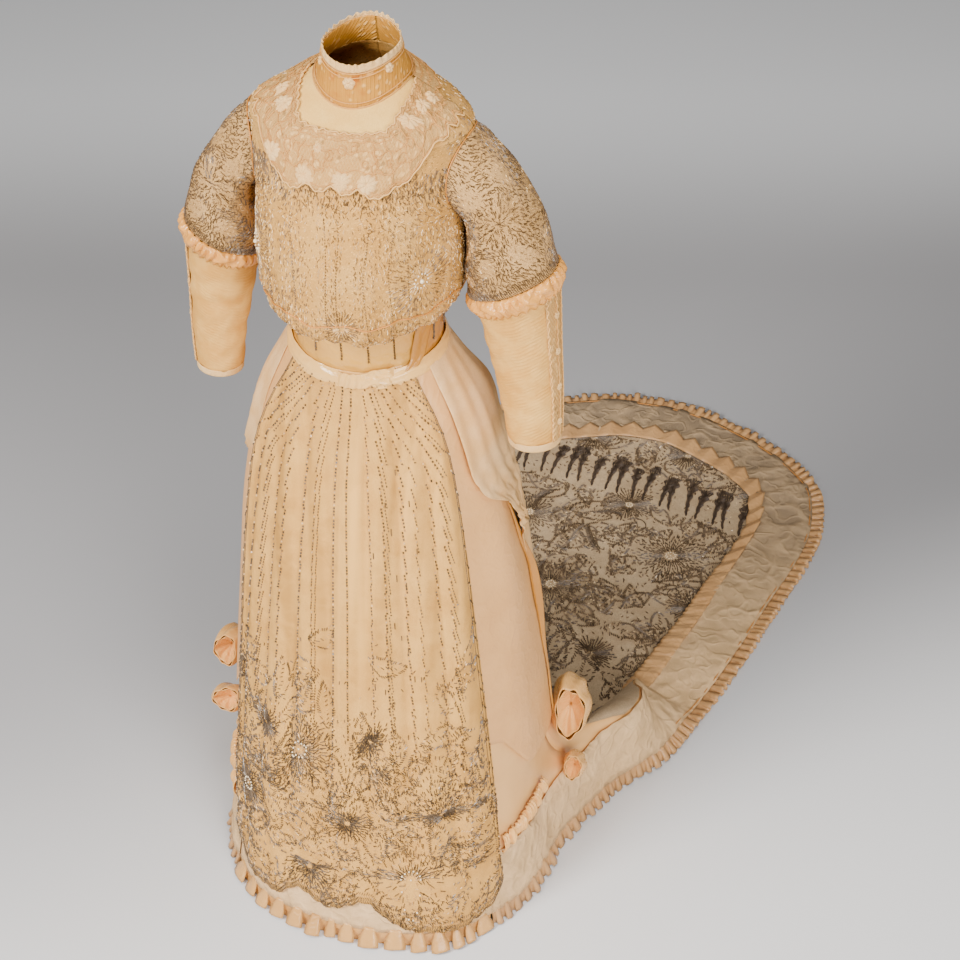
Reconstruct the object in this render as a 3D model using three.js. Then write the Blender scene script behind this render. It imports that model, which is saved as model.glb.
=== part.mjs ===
// A bride's trained gown of about 1909: a high boned collar, a pouched bodice of beaded net over satin,
// elbow over-sleeves on straight lace under-sleeves, a deep waistband with a ribbon, a gored satin skirt
// with a beaded front panel and side drapes, and a long train edged with a gathered border and frills.
// Millimetres, +Z up, +X to the wearer's left, +Y to the back. The origin is the centre of the waist.
import * as THREE from 'three';

// ---------------------------------------------------------------- driving dimensions
const FLOOR = -1030;
const CLOTH = 1.4;
const SEAM = 0.3;
const LAID = CLOTH + 0.4;
const LAID_TWICE = 2 * LAID;
const LAID_THRICE = 3 * LAID;
const BORDER = 140;
const FRILL = 28;
const FRILL_DEPTH = 9;
const FRILL_PITCH = 84;
const FLARE = 81;
const BEND_HANGING = 60;
const BEND_LYING = 150;
const TRAIN_SWEEP = 0.136;
const HEM_SHIFT = 15;
const GORE_EDGE = 52;
const SIDE_EDGE = 96;

// The torso, ring by ring from the pouch seam to the base of the neck. Each ring is an ellipse of half width
// `half`, `front` ahead and `back` behind its centre `y`, and its height differs at front, side and back.
const TORSO = [
  { level: 0, y: 0, half: 107, front: 96, back: 86, zFront: 31, zSide: 33, zBack: 35 },
  { level: 1, y: 0, half: 121, front: 134, back: 92, zFront: 25, zSide: 37, zBack: 46 },
  { level: 2, y: 0, half: 137, front: 161, back: 98, zFront: 60, zSide: 66, zBack: 76 },
  { level: 3, y: 0, half: 142, front: 157, back: 105, zFront: 132, zSide: 130, zBack: 142 },
  { level: 4, y: 0, half: 140, front: 138, back: 110, zFront: 205, zSide: 196, zBack: 215 },
  { level: 5, y: 2, half: 146, front: 114, back: 105, zFront: 256, zSide: 252, zBack: 282 },
  { level: 6, y: 6, half: 150, front: 98, back: 90, zFront: 290, zSide: 302, zBack: 328 },
  { level: 7, y: 14, half: 104, front: 84, back: 72, zFront: 314, zSide: 332, zBack: 352 },
  { level: 8, y: 22, half: 62, front: 66, back: 56, zFront: 331, zSide: 353, zBack: 368 },
];
const SHOULDER = 6;
const NECK = 8;
const ARMHOLE = { level: 5, rise: 0.995, reach: 27 };

// The waistband and the skirt as they hang, before the train bends on to the floor.
const FALL = [
  { z: 36, half: 107, front: 96, back: 86 },
  { z: 10, half: 104, front: 91, back: 84 },
  { z: -16, half: 105, front: 90, back: 86 },
  { z: -60, half: 124, front: 98, back: 104 },
  { z: -120, half: 151, front: 112, back: 134 },
  { z: -200, half: 174, front: 130, back: 172 },
  { z: -300, half: 192, front: 150, back: 212 },
  { z: -400, half: 206, front: 168, back: 245 },
  { z: -600, half: 230, front: 200, back: 300 },
  { z: -800, half: 251, front: 232, back: 356 },
  { z: -1030, half: 272, front: 266, back: 420 },
];

// The hem's line on the floor by direction round the skirt, 0 ahead and 180 behind, for the left half,
// before the train is swept to the wearer's left.
const HEM = [
  { angle: 0, x: 0, y: -270 },
  { angle: 8, x: 38, y: -268 },
  { angle: 30, x: 139, y: -246 },
  { angle: 60, x: 242, y: -146 },
  { angle: 76, x: 272, y: -66 },
  { angle: 90, x: 283, y: 25 },
  { angle: 100, x: 316, y: 143 },
  { angle: 110, x: 390, y: 283 },
  { angle: 120, x: 430, y: 480 },
  { angle: 130, x: 453, y: 690 },
  { angle: 140, x: 472, y: 905 },
  { angle: 150, x: 436, y: 1078 },
  { angle: 160, x: 338, y: 1192 },
  { angle: 170, x: 188, y: 1283 },
  { angle: 177, x: 56, y: 1328 },
  { angle: 180, x: 0, y: 1332 },
];

// Rings of the over-sleeve below the armhole, and of the under-sleeve. `tilt` turns each ring up on its
// outer side, `across` and `fore` are its half widths from body to outside and from front to back.
const OVER_SLEEVE = [
  { x: 169, y: 0, z: 217, tilt: 70, across: 57, fore: 54 },
  { x: 195, y: 0, z: 154, tilt: 42, across: 62, fore: 60 },
  { x: 209, y: 0, z: 96, tilt: 24, across: 62, fore: 60 },
];
const UNDER_SLEEVE = [
  { x: 208, y: 0, z: 103, tilt: 24, across: 59, fore: 57 },
  { x: 216, y: 0, z: 72, tilt: 22, across: 56, fore: 54 },
  { x: 228, y: 0, z: -6, tilt: 12, across: 47, fore: 45 },
  { x: 240, y: 0, z: -86, tilt: 6, across: 40, fore: 39 },
  { x: 247, y: 0, z: -155, tilt: 4, across: 35, fore: 34 },
];
const SIDES = [
  { side: 'left', sign: 1, forward: 20, out: 0, rise: 0, fullness: 1.04, billow: 7 },
  { side: 'right', sign: -1, forward: -14, out: -8, rise: 12, fullness: 0.94, billow: 16 },
];
const CUFF_HEIGHT = 9;
const RUCHE_HEIGHT = 24;

const COLLAR_RIM = { y: 18, half: 49, fore: 55, zFront: 384, zSide: 395, zBack: 408 };
const EDGING_HEIGHT = 5;

// ---------------------------------------------------------------- arithmetic
const radians = (degrees) => (degrees * Math.PI) / 180;
const mix = (a, b, share) => a + (b - a) * share;
const clamp = (value, low, high) => Math.min(high, Math.max(low, value));
const ease = (share) => share * share * (3 - 2 * share);
const point = (x, y, z) => new THREE.Vector3(x, y, z);

/** Even steps from one number to another, both included. */
function steps(from, to, count) {
  return Array.from({ length: count + 1 }, (_, i) => mix(from, to, i / count));
}

/** A column of a table at a key, on a curve that never overshoots its rows. */
function read(table, key, column, at) {
  const rows = table[0][key] < table[table.length - 1][key] ? table : [...table].reverse();
  const last = rows.length - 1;
  const place = clamp(at, rows[0][key], rows[last][key]);
  let i = 0;
  while (i < last - 1 && place > rows[i + 1][key]) i += 1;
  const slope = (k) => (rows[k + 1][column] - rows[k][column]) / (rows[k + 1][key] - rows[k][key]);
  const tangent = (k) => {
    if (k === 0) return slope(0);
    if (k === last) return slope(last - 1);
    const before = slope(k - 1);
    const after = slope(k);
    return before * after <= 0 ? 0 : (2 * before * after) / (before + after);
  };
  const width = rows[i + 1][key] - rows[i][key];
  const t = (place - rows[i][key]) / width;
  const low = rows[i][column];
  const high = rows[i + 1][column];
  const curve = tangent(i) * t * (1 - t) ** 2 * width - tangent(i + 1) * t ** 2 * (1 - t) * width;
  return mix(low, high, ease(t)) + curve;
}

// ---------------------------------------------------------------- base surfaces of the gown
/** The torso at a direction round it (0 ahead, 90 at the wearer's left) and a level of its table. */
function torso(angle, level) {
  const c = Math.cos(radians(angle));
  const s = Math.sin(radians(angle));
  const at = (column) => read(TORSO, 'level', column, level);
  const depth = c > 0 ? at('front') : at('back');
  const end = c > 0 ? at('zFront') : at('zBack');
  return point(at('half') * s, at('y') - depth * c, mix(at('zSide'), end, c * c));
}

/** The waistband and hanging skirt at a direction and a height; the train draws the hem to its side. */
function fall(angle, z) {
  const c = Math.cos(radians(angle));
  const depth = read(FALL, 'z', c > 0 ? 'front' : 'back', z);
  const swing = HEM_SHIFT * Math.max(0, z / FLOOR) ** 1.5;
  return point(read(FALL, 'z', 'half', z) * Math.sin(radians(angle)) + swing, -depth * c, z);
}

/** The skirt's seam to the waistband, which dips towards the front. */
function waistSeam(angle) {
  const ahead = (1 + Math.cos(radians(angle))) / 2;
  return mix(-25, -50, ahead * ahead);
}

function hemLine(angle) {
  const turn = ((((angle + 180) % 360) + 360) % 360) - 180;
  const x = Math.sign(turn) * read(HEM, 'angle', 'x', Math.abs(turn));
  const y = read(HEM, 'angle', 'y', Math.abs(turn));
  return point(x + HEM_SHIFT + TRAIN_SWEEP * Math.max(0, y), y, FLOOR);
}

/**
 * The bends of the skirt's line at one direction: it hangs to `knee`, bends about `corner`, runs along the
 * floor from `landing` to `inner`, the border's inner edge, and goes on to `hem`. The border hangs as steep
 * as FLARE where the hem is under the skirt, and lies flat where the hem is a border's width clear of it.
 */
const bends = new Map();
function line(angle) {
  if (bends.has(angle)) return bends.get(angle);
  const hem = hemLine(angle);
  const along = hemLine(angle + 0.5).sub(hemLine(angle - 0.5)).normalize();
  const inward = point(-along.y, along.x, 0);
  const clear = fall(angle, FLOOR).sub(hem).dot(inward) / BORDER;
  const lie = clamp(clear, Math.cos(radians(FLARE)), 1);
  const inner = hem.clone().addScaledVector(inward, BORDER * lie);
  inner.z += BORDER * Math.sqrt(1 - lie * lie);
  const bendSize = mix(BEND_HANGING, BEND_LYING, lie);
  const corner = fall(angle, inner.z + mix(BEND_HANGING, 0, lie));
  const run = inner.clone().sub(corner);
  const landing = corner.clone().add(run.clone().setLength(Math.min(bendSize, run.length() * 0.6)));
  const bend = { knee: corner.z + bendSize, corner, landing, inner, hem };
  bends.set(angle, bend);
  return bend;
}

/** The skirt at a direction and a stage: 0-1 hanging, 1-2 the bend, 2-3 the floor run, 3-4 the border. */
function skirt(angle, stage) {
  const { knee, corner, landing, inner, hem } = line(angle);
  if (stage <= 1) return fall(angle, mix(waistSeam(angle), knee, stage));
  if (stage <= 2) {
    const t = stage - 1;
    const first = fall(angle, knee).lerp(corner, t);
    return first.lerp(corner.clone().lerp(landing, t), t);
  }
  if (stage <= 3) return landing.clone().lerp(inner, stage - 2);
  return inner.clone().lerp(hem, stage - 3);
}

/** The stage at which the hanging skirt reaches a height. */
function stageAt(angle, z) {
  const top = waistSeam(angle);
  return (z - top) / (line(angle).knee - top);
}

/** The unit direction out of a surface, from small steps along its two parameters. */
function outward(at, turn = 1, stepU = 0.5, stepV = 0.01) {
  return (u, v) => {
    const du = at(u + stepU, v).sub(at(u - stepU, v));
    const dv = at(u, v + stepV).sub(at(u, v - stepV));
    return du.cross(dv).normalize().multiplyScalar(turn);
  };
}

// ---------------------------------------------------------------- cloth walls
/**
 * A closed wall of cloth over a grid of stops on a base surface. `lift` is how far its inner face stands
 * off the base, and open edges stop half a seam short of their line, square to it.
 */
function wall(base, us, vs, { lift = 0, cloth = CLOTH, ring = false } = {}) {
  const rows = vs.length;
  const columns = us.length;
  const grid = us.map((u) => vs.map((v) => base.at(u, v)));
  const outs = us.map((u) => vs.map((v) => base.out(u, v)));
  const wrap = (i) => (ring ? (i + columns) % columns : clamp(i, 0, columns - 1));
  const row = (j) => clamp(j, 0, rows - 1);
  const from = (a, b) => b.clone().sub(a).normalize();
  const [m, n] = [Math.floor((columns - 1) / 2), Math.floor((rows - 1) / 2)];
  const square = from(grid[m][n], grid[m + 1][n]).cross(from(grid[m][n], grid[m][n + 1]));
  const inset = (SEAM / 2) * Math.sign(square.dot(outs[m][n]));
  const at = (i, j) => {
    const here = grid[i][j].clone();
    const across = from(grid[wrap(i - 1)][j], grid[wrap(i + 1)][j]);
    const along = from(grid[i][row(j - 1)], grid[i][row(j + 1)]);
    const inColumn = outs[i][j].clone().cross(across).setLength(inset);
    const inRow = along.cross(outs[i][j]).setLength(inset);
    if (j === 0) here.add(inColumn);
    if (j === rows - 1) here.sub(inColumn);
    if (!ring && i === 0) here.add(inRow);
    if (!ring && i === columns - 1) here.sub(inRow);
    return here;
  };
  const inner = [];
  const outer = [];
  us.forEach((u, i) => {
    vs.forEach((v, j) => {
      const out = outs[i][j];
      const off = typeof lift === 'function' ? lift(u, v, i, j) : lift;
      inner.push(at(i, j).addScaledVector(out, off));
      outer.push(at(i, j).addScaledVector(out, off + cloth));
    });
  });
  const index = [];
  const quad = (a, b, c, d) => index.push(a, b, d, b, c, d);
  const spans = ring ? columns : columns - 1;
  const id = (i, j) => (i % columns) * rows + j;
  const far = inner.length;
  for (let i = 0; i < spans; i += 1) {
    for (let j = 0; j < rows - 1; j += 1) {
      quad(far + id(i, j), far + id(i + 1, j), far + id(i + 1, j + 1), far + id(i, j + 1));
      quad(id(i, j), id(i, j + 1), id(i + 1, j + 1), id(i + 1, j));
    }
    quad(id(i, 0), id(i + 1, 0), far + id(i + 1, 0), far + id(i, 0));
    quad(id(i, rows - 1), far + id(i, rows - 1), far + id(i + 1, rows - 1), id(i + 1, rows - 1));
  }
  for (let j = 0; j < rows - 1 && !ring; j += 1) {
    quad(id(0, j + 1), id(0, j), far + id(0, j), far + id(0, j + 1));
    const k = columns - 1;
    quad(id(k, j + 1), far + id(k, j + 1), far + id(k, j), id(k, j));
  }
  return closed([...inner, ...outer], index);
}

/** A geometry from points and triangles, turned so that its faces point out. */
function closed(points, index) {
  let volume = 0;
  for (let k = 0; k < index.length; k += 3) {
    const [a, b, c] = [points[index[k]], points[index[k + 1]], points[index[k + 2]]];
    volume += a.dot(b.clone().cross(c));
  }
  const faces = volume > 0 ? index : index.map((_, k) => index[k - (k % 3) + [0, 2, 1][k % 3]]);
  const geometry = new THREE.BufferGeometry();
  geometry.setAttribute('position', new THREE.Float32BufferAttribute(points.flatMap((p) => [...p]), 3));
  geometry.setIndex(faces);
  geometry.computeVertexNormals();
  return geometry;
}

// ---------------------------------------------------------------- materials
const cloth = (color, roughness, metalness = 0) =>
  new THREE.MeshStandardMaterial({ color, roughness, metalness, side: THREE.DoubleSide });
const satin = cloth(0xe6c39d, 0.42);
const ribbonSatin = cloth(0xe0b184, 0.3);
const paleNet = cloth(0xdcc8a8, 0.75);
const lace = cloth(0xe3cda9, 0.8);
const beadedNet = cloth(0xcbb08a, 0.6, 0.1);
const darkBeadedNet = cloth(0xa08a6c, 0.6, 0.15);
const trainNet = cloth(0xa8977e, 0.7, 0.1);

const gown = new THREE.Group();
function sew(name, geometry, material) {
  const piece = new THREE.Mesh(geometry, material);
  piece.name = name;
  gown.add(piece);
}

// ---------------------------------------------------------------- bodice
const torsoBase = { at: torso, out: outward(torso) };

/** Half the angle that the bodice's front or back covers at a level: to the side seam or the armhole. */
function sideEdge(level) {
  const off = (level - ARMHOLE.level) / ARMHOLE.rise;
  return 90 - (Math.abs(off) < 1 ? ARMHOLE.reach * Math.sqrt(1 - off * off) : 0);
}

/** The level of the square neckline in front of a column that leaves the waist at a given angle. */
const NECKLINE = [
  { angle: 0, inner: 7.0, outer: 5.1 },
  { angle: 26, inner: 6.95, outer: 5.0 },
  { angle: 34, inner: 7.12, outer: 5.15 },
  { angle: 48, inner: 7.35, outer: 5.9 },
  { angle: 62, inner: 7.62, outer: 6.6 },
  { angle: 76, inner: 7.9, outer: 6.85 },
  { angle: 90, inner: 8, outer: 7.0 },
];
const neckline = (angle) => read(NECKLINE, 'angle', 'inner', Math.abs(angle));
const laceEdge = (angle) => read(NECKLINE, 'angle', 'outer', Math.abs(angle));

const ARM_TURNS = 12;
const armStops = steps(0, 360, ARM_TURNS).slice(0, ARM_TURNS);
const armLevels = armStops.slice(0, ARM_TURNS / 2 + 1)
  .map((turn) => ARMHOLE.level + ARMHOLE.rise * Math.cos(radians(turn))).reverse();
const bodiceLevels = [0, 0.6, 1.2, 2, 3, ...armLevels];
const shoulderLevels = [7, NECK];

const NECK_ANGLES = [0, 13, 26, 40, 56, 76, 90];
const frontAngles = [...NECK_ANGLES.slice(1).reverse().map((angle) => -angle), ...NECK_ANGLES];

/** The bodice front, by its column's angle at the neck; above the armhole it is cut off at the neckline. */
const topOf = armLevels[armLevels.length - 1];
const frontAt = (angle, level) => {
  if (level <= topOf) return torso((angle / 90) * sideEdge(level), level);
  return torso(angle, mix(topOf, neckline(angle), (level - topOf) / (NECK - topOf)));
};
sew('bodice_front', wall({ at: frontAt, out: outward(frontAt) }, frontAngles, [...bodiceLevels, ...shoulderLevels]),
  beadedNet);

const backAngles = [90, 105, 121, 140, 160, 180];
for (const { side, sign } of SIDES) {
  const at = (angle, level) => {
    const share = (angle - 90) / 90;
    return torso(sign * mix(180 - sideEdge(level), 180, share), level);
  };
  sew(`bodice_back_${side}`, wall({ at, out: outward(at, sign) }, backAngles, [...bodiceLevels, ...shoulderLevels]),
    beadedNet);
}

const yokeAngles = frontAngles.filter((angle) => Math.abs(angle) < 80);
const yokeAt = (angle, share) => torso(angle, mix(neckline(angle), NECK, share));
sew('yoke', wall({ at: yokeAt, out: outward(yokeAt) }, yokeAngles, [0, 1]), paleNet);

// The neckline lace lies over the yoke seam in front, and round the base of the collar behind.
const LACE_OVERLAP = 0.06;
const laceLift = LAID + 2.8;
const laceAngles = [...frontAngles, -66, -48, -33, 33, 48, 66].sort((a, b) => a - b);
const laceAt = (angle, share) => {
  const inner = Math.min(neckline(angle) + LACE_OVERLAP, NECK - LACE_OVERLAP);
  return torso(angle, mix(laceEdge(angle), inner, share));
};
sew('neck_lace_front', wall({ at: laceAt, out: outward(laceAt, 1, 0.5, 0.02) }, laceAngles, [0, 0.33, 0.67, 1], { lift: laceLift }), lace);
for (const { side, sign } of SIDES) {
  const at = (angle, level) => torso(sign * angle, level);
  const levels = [laceEdge(90), 7.5, NECK - LACE_OVERLAP];
  sew(`neck_lace_back_${side}`, wall({ at, out: outward(at, sign) }, backAngles, levels, { lift: laceLift }), lace);
}

// ---------------------------------------------------------------- collar
const collarAt = (angle, share) => {
  const c = Math.cos(radians(angle));
  const rim = point(
    COLLAR_RIM.half * Math.sin(radians(angle)),
    COLLAR_RIM.y - COLLAR_RIM.fore * c,
    mix(COLLAR_RIM.zSide, c > 0 ? COLLAR_RIM.zFront : COLLAR_RIM.zBack, c * c),
  );
  const base = torso(angle, NECK).addScaledVector(torsoBase.out(angle, NECK), CLOTH + SEAM);
  const waisted = Math.sin(Math.PI * share) * 1.5;
  return base.lerp(rim, share).add(point(-Math.sin(radians(angle)), c, 0).multiplyScalar(waisted));
};
const collar = { at: collarAt, out: outward(collarAt) };
const collarAngles = steps(-180, 180, 20);
const edgingShare = 1 - EDGING_HEIGHT / (COLLAR_RIM.zFront - TORSO[NECK].zFront);
sew('collar', wall(collar, collarAngles, [0, 0.5, edgingShare]), lace);
sew('collar_edging', wall(collar, collarAngles, [edgingShare, 1]), lace);

// ---------------------------------------------------------------- sleeves
/** A sleeve through rings: turn 0 is its outer or upper line, 90 its back, 180 its inner line. */
function sleeve(rings, { sign, forward, out: shift, rise, fullness }) {
  const rows = (turn) => rings.map((ring, stage) => {
    if (!ring) {
      const angle = 90 + ARMHOLE.reach * Math.sin(radians(turn));
      const level = ARMHOLE.level + ARMHOLE.rise * Math.cos(radians(turn));
      const off = CLOTH + 2 * SEAM + Math.max(0, -Math.cos(radians(turn)));
      const hole = torso(sign * angle, level).addScaledVector(torsoBase.out(sign * angle, level), off);
      return { stage, x: hole.x, y: hole.y, z: hole.z };
    }
    const out = ring.across * fullness * Math.cos(radians(turn));
    const below = clamp((200 - ring.z) / 360, 0, 1);
    return {
      stage,
      x: sign * (ring.x + shift * Math.sqrt(below) + out * Math.cos(radians(ring.tilt))),
      y: ring.y - forward * below + ring.fore * fullness * Math.sin(radians(turn)),
      z: ring.z + rise * below + out * Math.sin(radians(ring.tilt)),
    };
  });
  const at = (turn, stage) => {
    const table = rows(turn);
    const [x, y, z] = ['x', 'y', 'z'].map((column) => read(table, 'stage', column, stage));
    return point(x, y, z);
  };
  return { at, out: outward(at, -sign) };
}

const RUCHE_PLEATS = 10;
for (const shape of SIDES) {
  const { side } = shape;
  const over = sleeve([null, ...OVER_SLEEVE], shape);
  const under = sleeve(UNDER_SLEEVE, shape);
  const last = UNDER_SLEEVE.length - 1;
  const length = (from, to) => UNDER_SLEEVE[from].z - UNDER_SLEEVE[to].z;
  const rucheTop = (UNDER_SLEEVE[0].z - OVER_SLEEVE[2].z + 1) / length(0, 1);
  const ruche = [rucheTop, rucheTop + RUCHE_HEIGHT / 2 / length(0, 1), rucheTop + RUCHE_HEIGHT / length(0, 1)];
  const cuffTop = last - CUFF_HEIGHT / length(last - 1, last);
  sew(`sleeve_over_${side}`, wall(over, armStops, [0, 0.5, 1, 1.5, 2, 3], { ring: true }), darkBeadedNet);
  sew(`sleeve_under_${side}`, wall(under, armStops, [0, 1, 2, 3, cuffTop], { ring: true }), paleNet);
  sew(`cuff_band_${side}`, wall(under, armStops, [cuffTop, last], { ring: true }), satin);
  const pleats = steps(0, 360, RUCHE_PLEATS * 2).slice(0, RUCHE_PLEATS * 2);
  const puff = (u, v, i, j) => LAID + 1.6 + (j === 1 ? 3 : 0) + (i % 2) * 3;
  sew(`sleeve_ruche_${side}`, wall(under, pleats, ruche, { lift: puff, ring: true }), ribbonSatin);
  const strip = [-34, -30, 0, 8].map((turn) => (shape.sign > 0 ? turn : turn));
  sew(`sleeve_lace_${side}`, wall(under, strip, [1.05, 2, 3, cuffTop - 0.03], { lift: LAID }), lace);
}

// ---------------------------------------------------------------- waist
const BELT_HEIGHT = 16;
const waistAngles = steps(-180, 180, 24);

/** The waistband: 0-1 from the pouch down to the belt's top, 1-2 behind the belt down to the skirt. */
const waistAt = (angle, stage) => {
  const pouch = torso(angle, 0).z - CLOTH - SEAM;
  const beltTop = waistSeam(angle) + BELT_HEIGHT;
  return fall(angle, stage < 1 ? mix(pouch, beltTop, stage) : mix(beltTop, waistSeam(angle), stage - 1));
};
const waist = { at: waistAt, out: outward(waistAt, -1) };
sew('waistband', wall(waist, waistAngles, [0, 0.5, 1, 2]), satin);
sew('belt', wall(waist, waistAngles, [1, 2], { lift: LAID }), ribbonSatin);
sew('belt_knot', wall(waist, [-6, 0, 6], [1.1, 1.9], { lift: LAID_TWICE + 0.2, cloth: 6 }), ribbonSatin);
sew('belt_end', wall(waist, [48, 54, 60], [0.4, 1, 1.8], { lift: LAID_TWICE + 0.2 }), ribbonSatin);

// ---------------------------------------------------------------- skirt
const frontColumns = steps(-GORE_EDGE, GORE_EDGE, 12);
const sideColumns = steps(GORE_EDGE, SIDE_EDGE, 5);
const backColumns = steps(SIDE_EDGE, 180, 11);
const frillStage = 4 - FRILL / BORDER;
const skirtStages = [0, 0.12, 0.28, 0.58, 1, 1.4, 2, 3, frillStage];
const mirrored = (columns) => [...columns].reverse().map((angle) => -angle);
const allColumns = [...mirrored(backColumns), ...mirrored(sideColumns).slice(1), ...frontColumns.slice(1),
  ...sideColumns.slice(1), ...backColumns.slice(1)];
const allStages = [...skirtStages, 4];

// The skirt's flat facets, two triangles to a cell, and the direction out at each corner.
const corners = allColumns.map((angle) => allStages.map((stage) => skirt(angle, stage)));
const cornerOuts = corners.map((column) => column.map(() => point(0, 0, 0)));
for (let i = 0; i < allColumns.length - 1; i += 1) {
  for (let j = 0; j < allStages.length - 1; j += 1) {
    const [near, side, below, far] = [[i, j], [i + 1, j], [i, j + 1], [i + 1, j + 1]];
    for (const triangle of [[near, below, side], [side, below, far]]) {
      const [a, b, c] = triangle.map(([m, n]) => corners[m][n]);
      const out = b.clone().sub(a).cross(c.clone().sub(a)).normalize();
      triangle.forEach(([m, n]) => cornerOuts[m][n].add(out));
    }
  }
}
const backSeam = cornerOuts[cornerOuts.length - 1];
cornerOuts[0].forEach((out, j) => backSeam[j].copy(out.add(backSeam[j])));
cornerOuts.forEach((column, i) => i > 0 && column.forEach((out) => out.normalize()));
cornerOuts[0] = backSeam;

function cell(stops, at) {
  let k = 0;
  while (k < stops.length - 2 && at > stops[k + 1]) k += 1;
  return [k, (at - stops[k]) / (stops[k + 1] - stops[k])];
}

/** A value known at the skirt's corners, read inside the facet at a direction and a stage. */
function within(grid, angle, stage) {
  const [i, s] = cell(allColumns, angle > 180 ? angle - 360 : angle);
  const [j, t] = cell(allStages, stage);
  const near = s + t <= 1;
  const origin = near ? grid[i][j] : grid[i + 1][j + 1];
  const across = near ? grid[i + 1][j] : grid[i][j + 1];
  const along = near ? grid[i][j + 1] : grid[i + 1][j];
  return origin.clone()
    .addScaledVector(across.clone().sub(origin), near ? s : 1 - s)
    .addScaledVector(along.clone().sub(origin), near ? t : 1 - t);
}

/** A base surface on the skirt's facets, through a placing of its parameters at a direction and a stage. */
function onSkirt(place = (angle, stage) => [angle, stage]) {
  return {
    at: (u, v) => within(corners, ...place(u, v)),
    out: (u, v) => within(cornerOuts, ...place(u, v)),
  };
}
const skirtBase = onSkirt();
const underBelt = (angle) => stageAt(angle, waistSeam(angle) - SEAM);

sew('skirt_front', wall(skirtBase, frontColumns, skirtStages), satin);
sew('skirt_side_left', wall(skirtBase, sideColumns, skirtStages), satin);
sew('skirt_side_right', wall(skirtBase, mirrored(sideColumns), skirtStages), satin);
sew('skirt_back_left', wall(skirtBase, backColumns, skirtStages), satin);
sew('skirt_back_right', wall(skirtBase, mirrored(backColumns), skirtStages), satin);

// The beaded front panel hangs free to a scalloped edge above the hem.
const PANEL = [
  { z: -45, half: 47 },
  { z: -165, half: 54 },
  { z: -600, half: 56 },
  { z: -900, half: 57 },
];
const PANEL_HEM = [
  { angle: -57, above: 92 },
  { angle: -48, above: 68 },
  { angle: -38, above: 52 },
  { angle: -27, above: 52 },
  { angle: -18, above: 82 },
  { angle: -6, above: 64 },
  { angle: 7, above: 90 },
  { angle: 14, above: 60 },
  { angle: 25, above: 38 },
  { angle: 40, above: 34 },
  { angle: 52, above: 54 },
  { angle: 57, above: 92 },
];
const PANEL_HEM_HALF = 57;
const panel = onSkirt((p, rawStage) => {
  const hem = 4 - read(PANEL_HEM, 'angle', 'above', p * PANEL_HEM_HALF) / BORDER;
  const stage = clamp(rawStage, underBelt(p * PANEL_HEM_HALF), hem);
  return [p * read(PANEL, 'z', 'half', skirtBase.at(p * GORE_EDGE, stage).z), stage];
});
const panelStages = [0, ...skirtStages.slice(1, -1), 4];
const panelFolds = (p, stage) => LAID_TWICE + 1.6 + 3.2 * Math.max(0, 1 - stage / 2) * Math.sin(p * 3.5 * Math.PI) ** 2;
sew('front_panel', wall(panel, steps(-1, 1, 14), panelStages, { lift: panelFolds }), beadedNet);

// Each side drape is smooth satin from under the panel to a free back edge and a hem that falls to a tip.
const DRAPE_BACK = [
  { z: -45, angle: 76 },
  { z: -190, angle: 82 },
  { z: -296, angle: 92 },
  { z: -376, angle: 97 },
  { z: -452, angle: 101 },
  { z: -800, angle: 100 },
];
const DRAPE_HEM = [
  { angle: 44, z: -684 },
  { angle: 57, z: -684 },
  { angle: 63, z: -692 },
  { angle: 69, z: -724 },
  { angle: 79, z: -776 },
  { angle: 93, z: -786 },
  { angle: 101, z: -792 },
];
const DRAPE_FRONT_EDGE = 44;
const HIP = [
  { z: -45, from: 60, to: 122 },
  { z: -192, from: 62, to: 121 },
  { z: -240, from: 68, to: 120 },
  { z: -296, from: 88, to: 118 },
  { z: -376, from: 95, to: 115 },
  { z: -450, from: 100, to: 113 },
  { z: -600, from: 103, to: 110 },
];
const DRAPE_TIP = 101;
const HIP_MIDDLE = 95;
const drapeStages = skirtStages.slice(0, 5);
const hipStages = [0, 0.07, 0.12, 0.2, 0.28, 0.35, 0.43, 0.58];
for (const { side, sign, billow } of SIDES) {
  const shorter = sign > 0 ? 0 : 80;
  const drape = onSkirt((p, rawStage) => {
    const rough = mix(DRAPE_FRONT_EDGE, DRAPE_TIP, p);
    const hem = stageAt(rough, read(DRAPE_HEM, 'angle', 'z', rough) + shorter * p);
    const stage = clamp(rawStage, underBelt(rough), hem);
    const back = read(DRAPE_BACK, 'z', 'angle', skirt(rough, stage).z);
    return [sign * mix(DRAPE_FRONT_EDGE, back, p), stage];
  });
  const drapeLift = (p, stage) => LAID + 0.6 + billow * ease(clamp((p - 0.36) / 0.3, 0, 1)) * ease(clamp(stage * 2, 0, 1));
  sew(`side_drape_${side}`, wall(drape, steps(0, 1, 7), drapeStages, { lift: drapeLift }), satin);
  const hip = onSkirt((p, rawStage) => {
    const stage = Math.max(rawStage, underBelt(HIP_MIDDLE));
    const { z } = skirt(HIP_MIDDLE, stage);
    return [sign * mix(read(HIP, 'z', 'from', z), read(HIP, 'z', 'to', z), p), stage];
  });
  const hipLift = (p, stage) => {
    const ridges = 3 * Math.sin(p * 3 * Math.PI) ** 2 * Math.sin(Math.PI * clamp(stage / 0.7, 0, 1));
    const flap = 11 * Math.exp(-(((stage - 0.12) / 0.06) ** 2) - ((p - 0.75) / 0.25) ** 2);
    return LAID_TWICE + 0.6 + (billow + 3) * ease(clamp(stage * 5, 0, 1)) + ridges + flap;
  };
  sew(`hip_drape_${side}`, wall(hip, steps(0, 1, 6), hipStages, { lift: hipLift }), satin);
}

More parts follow.
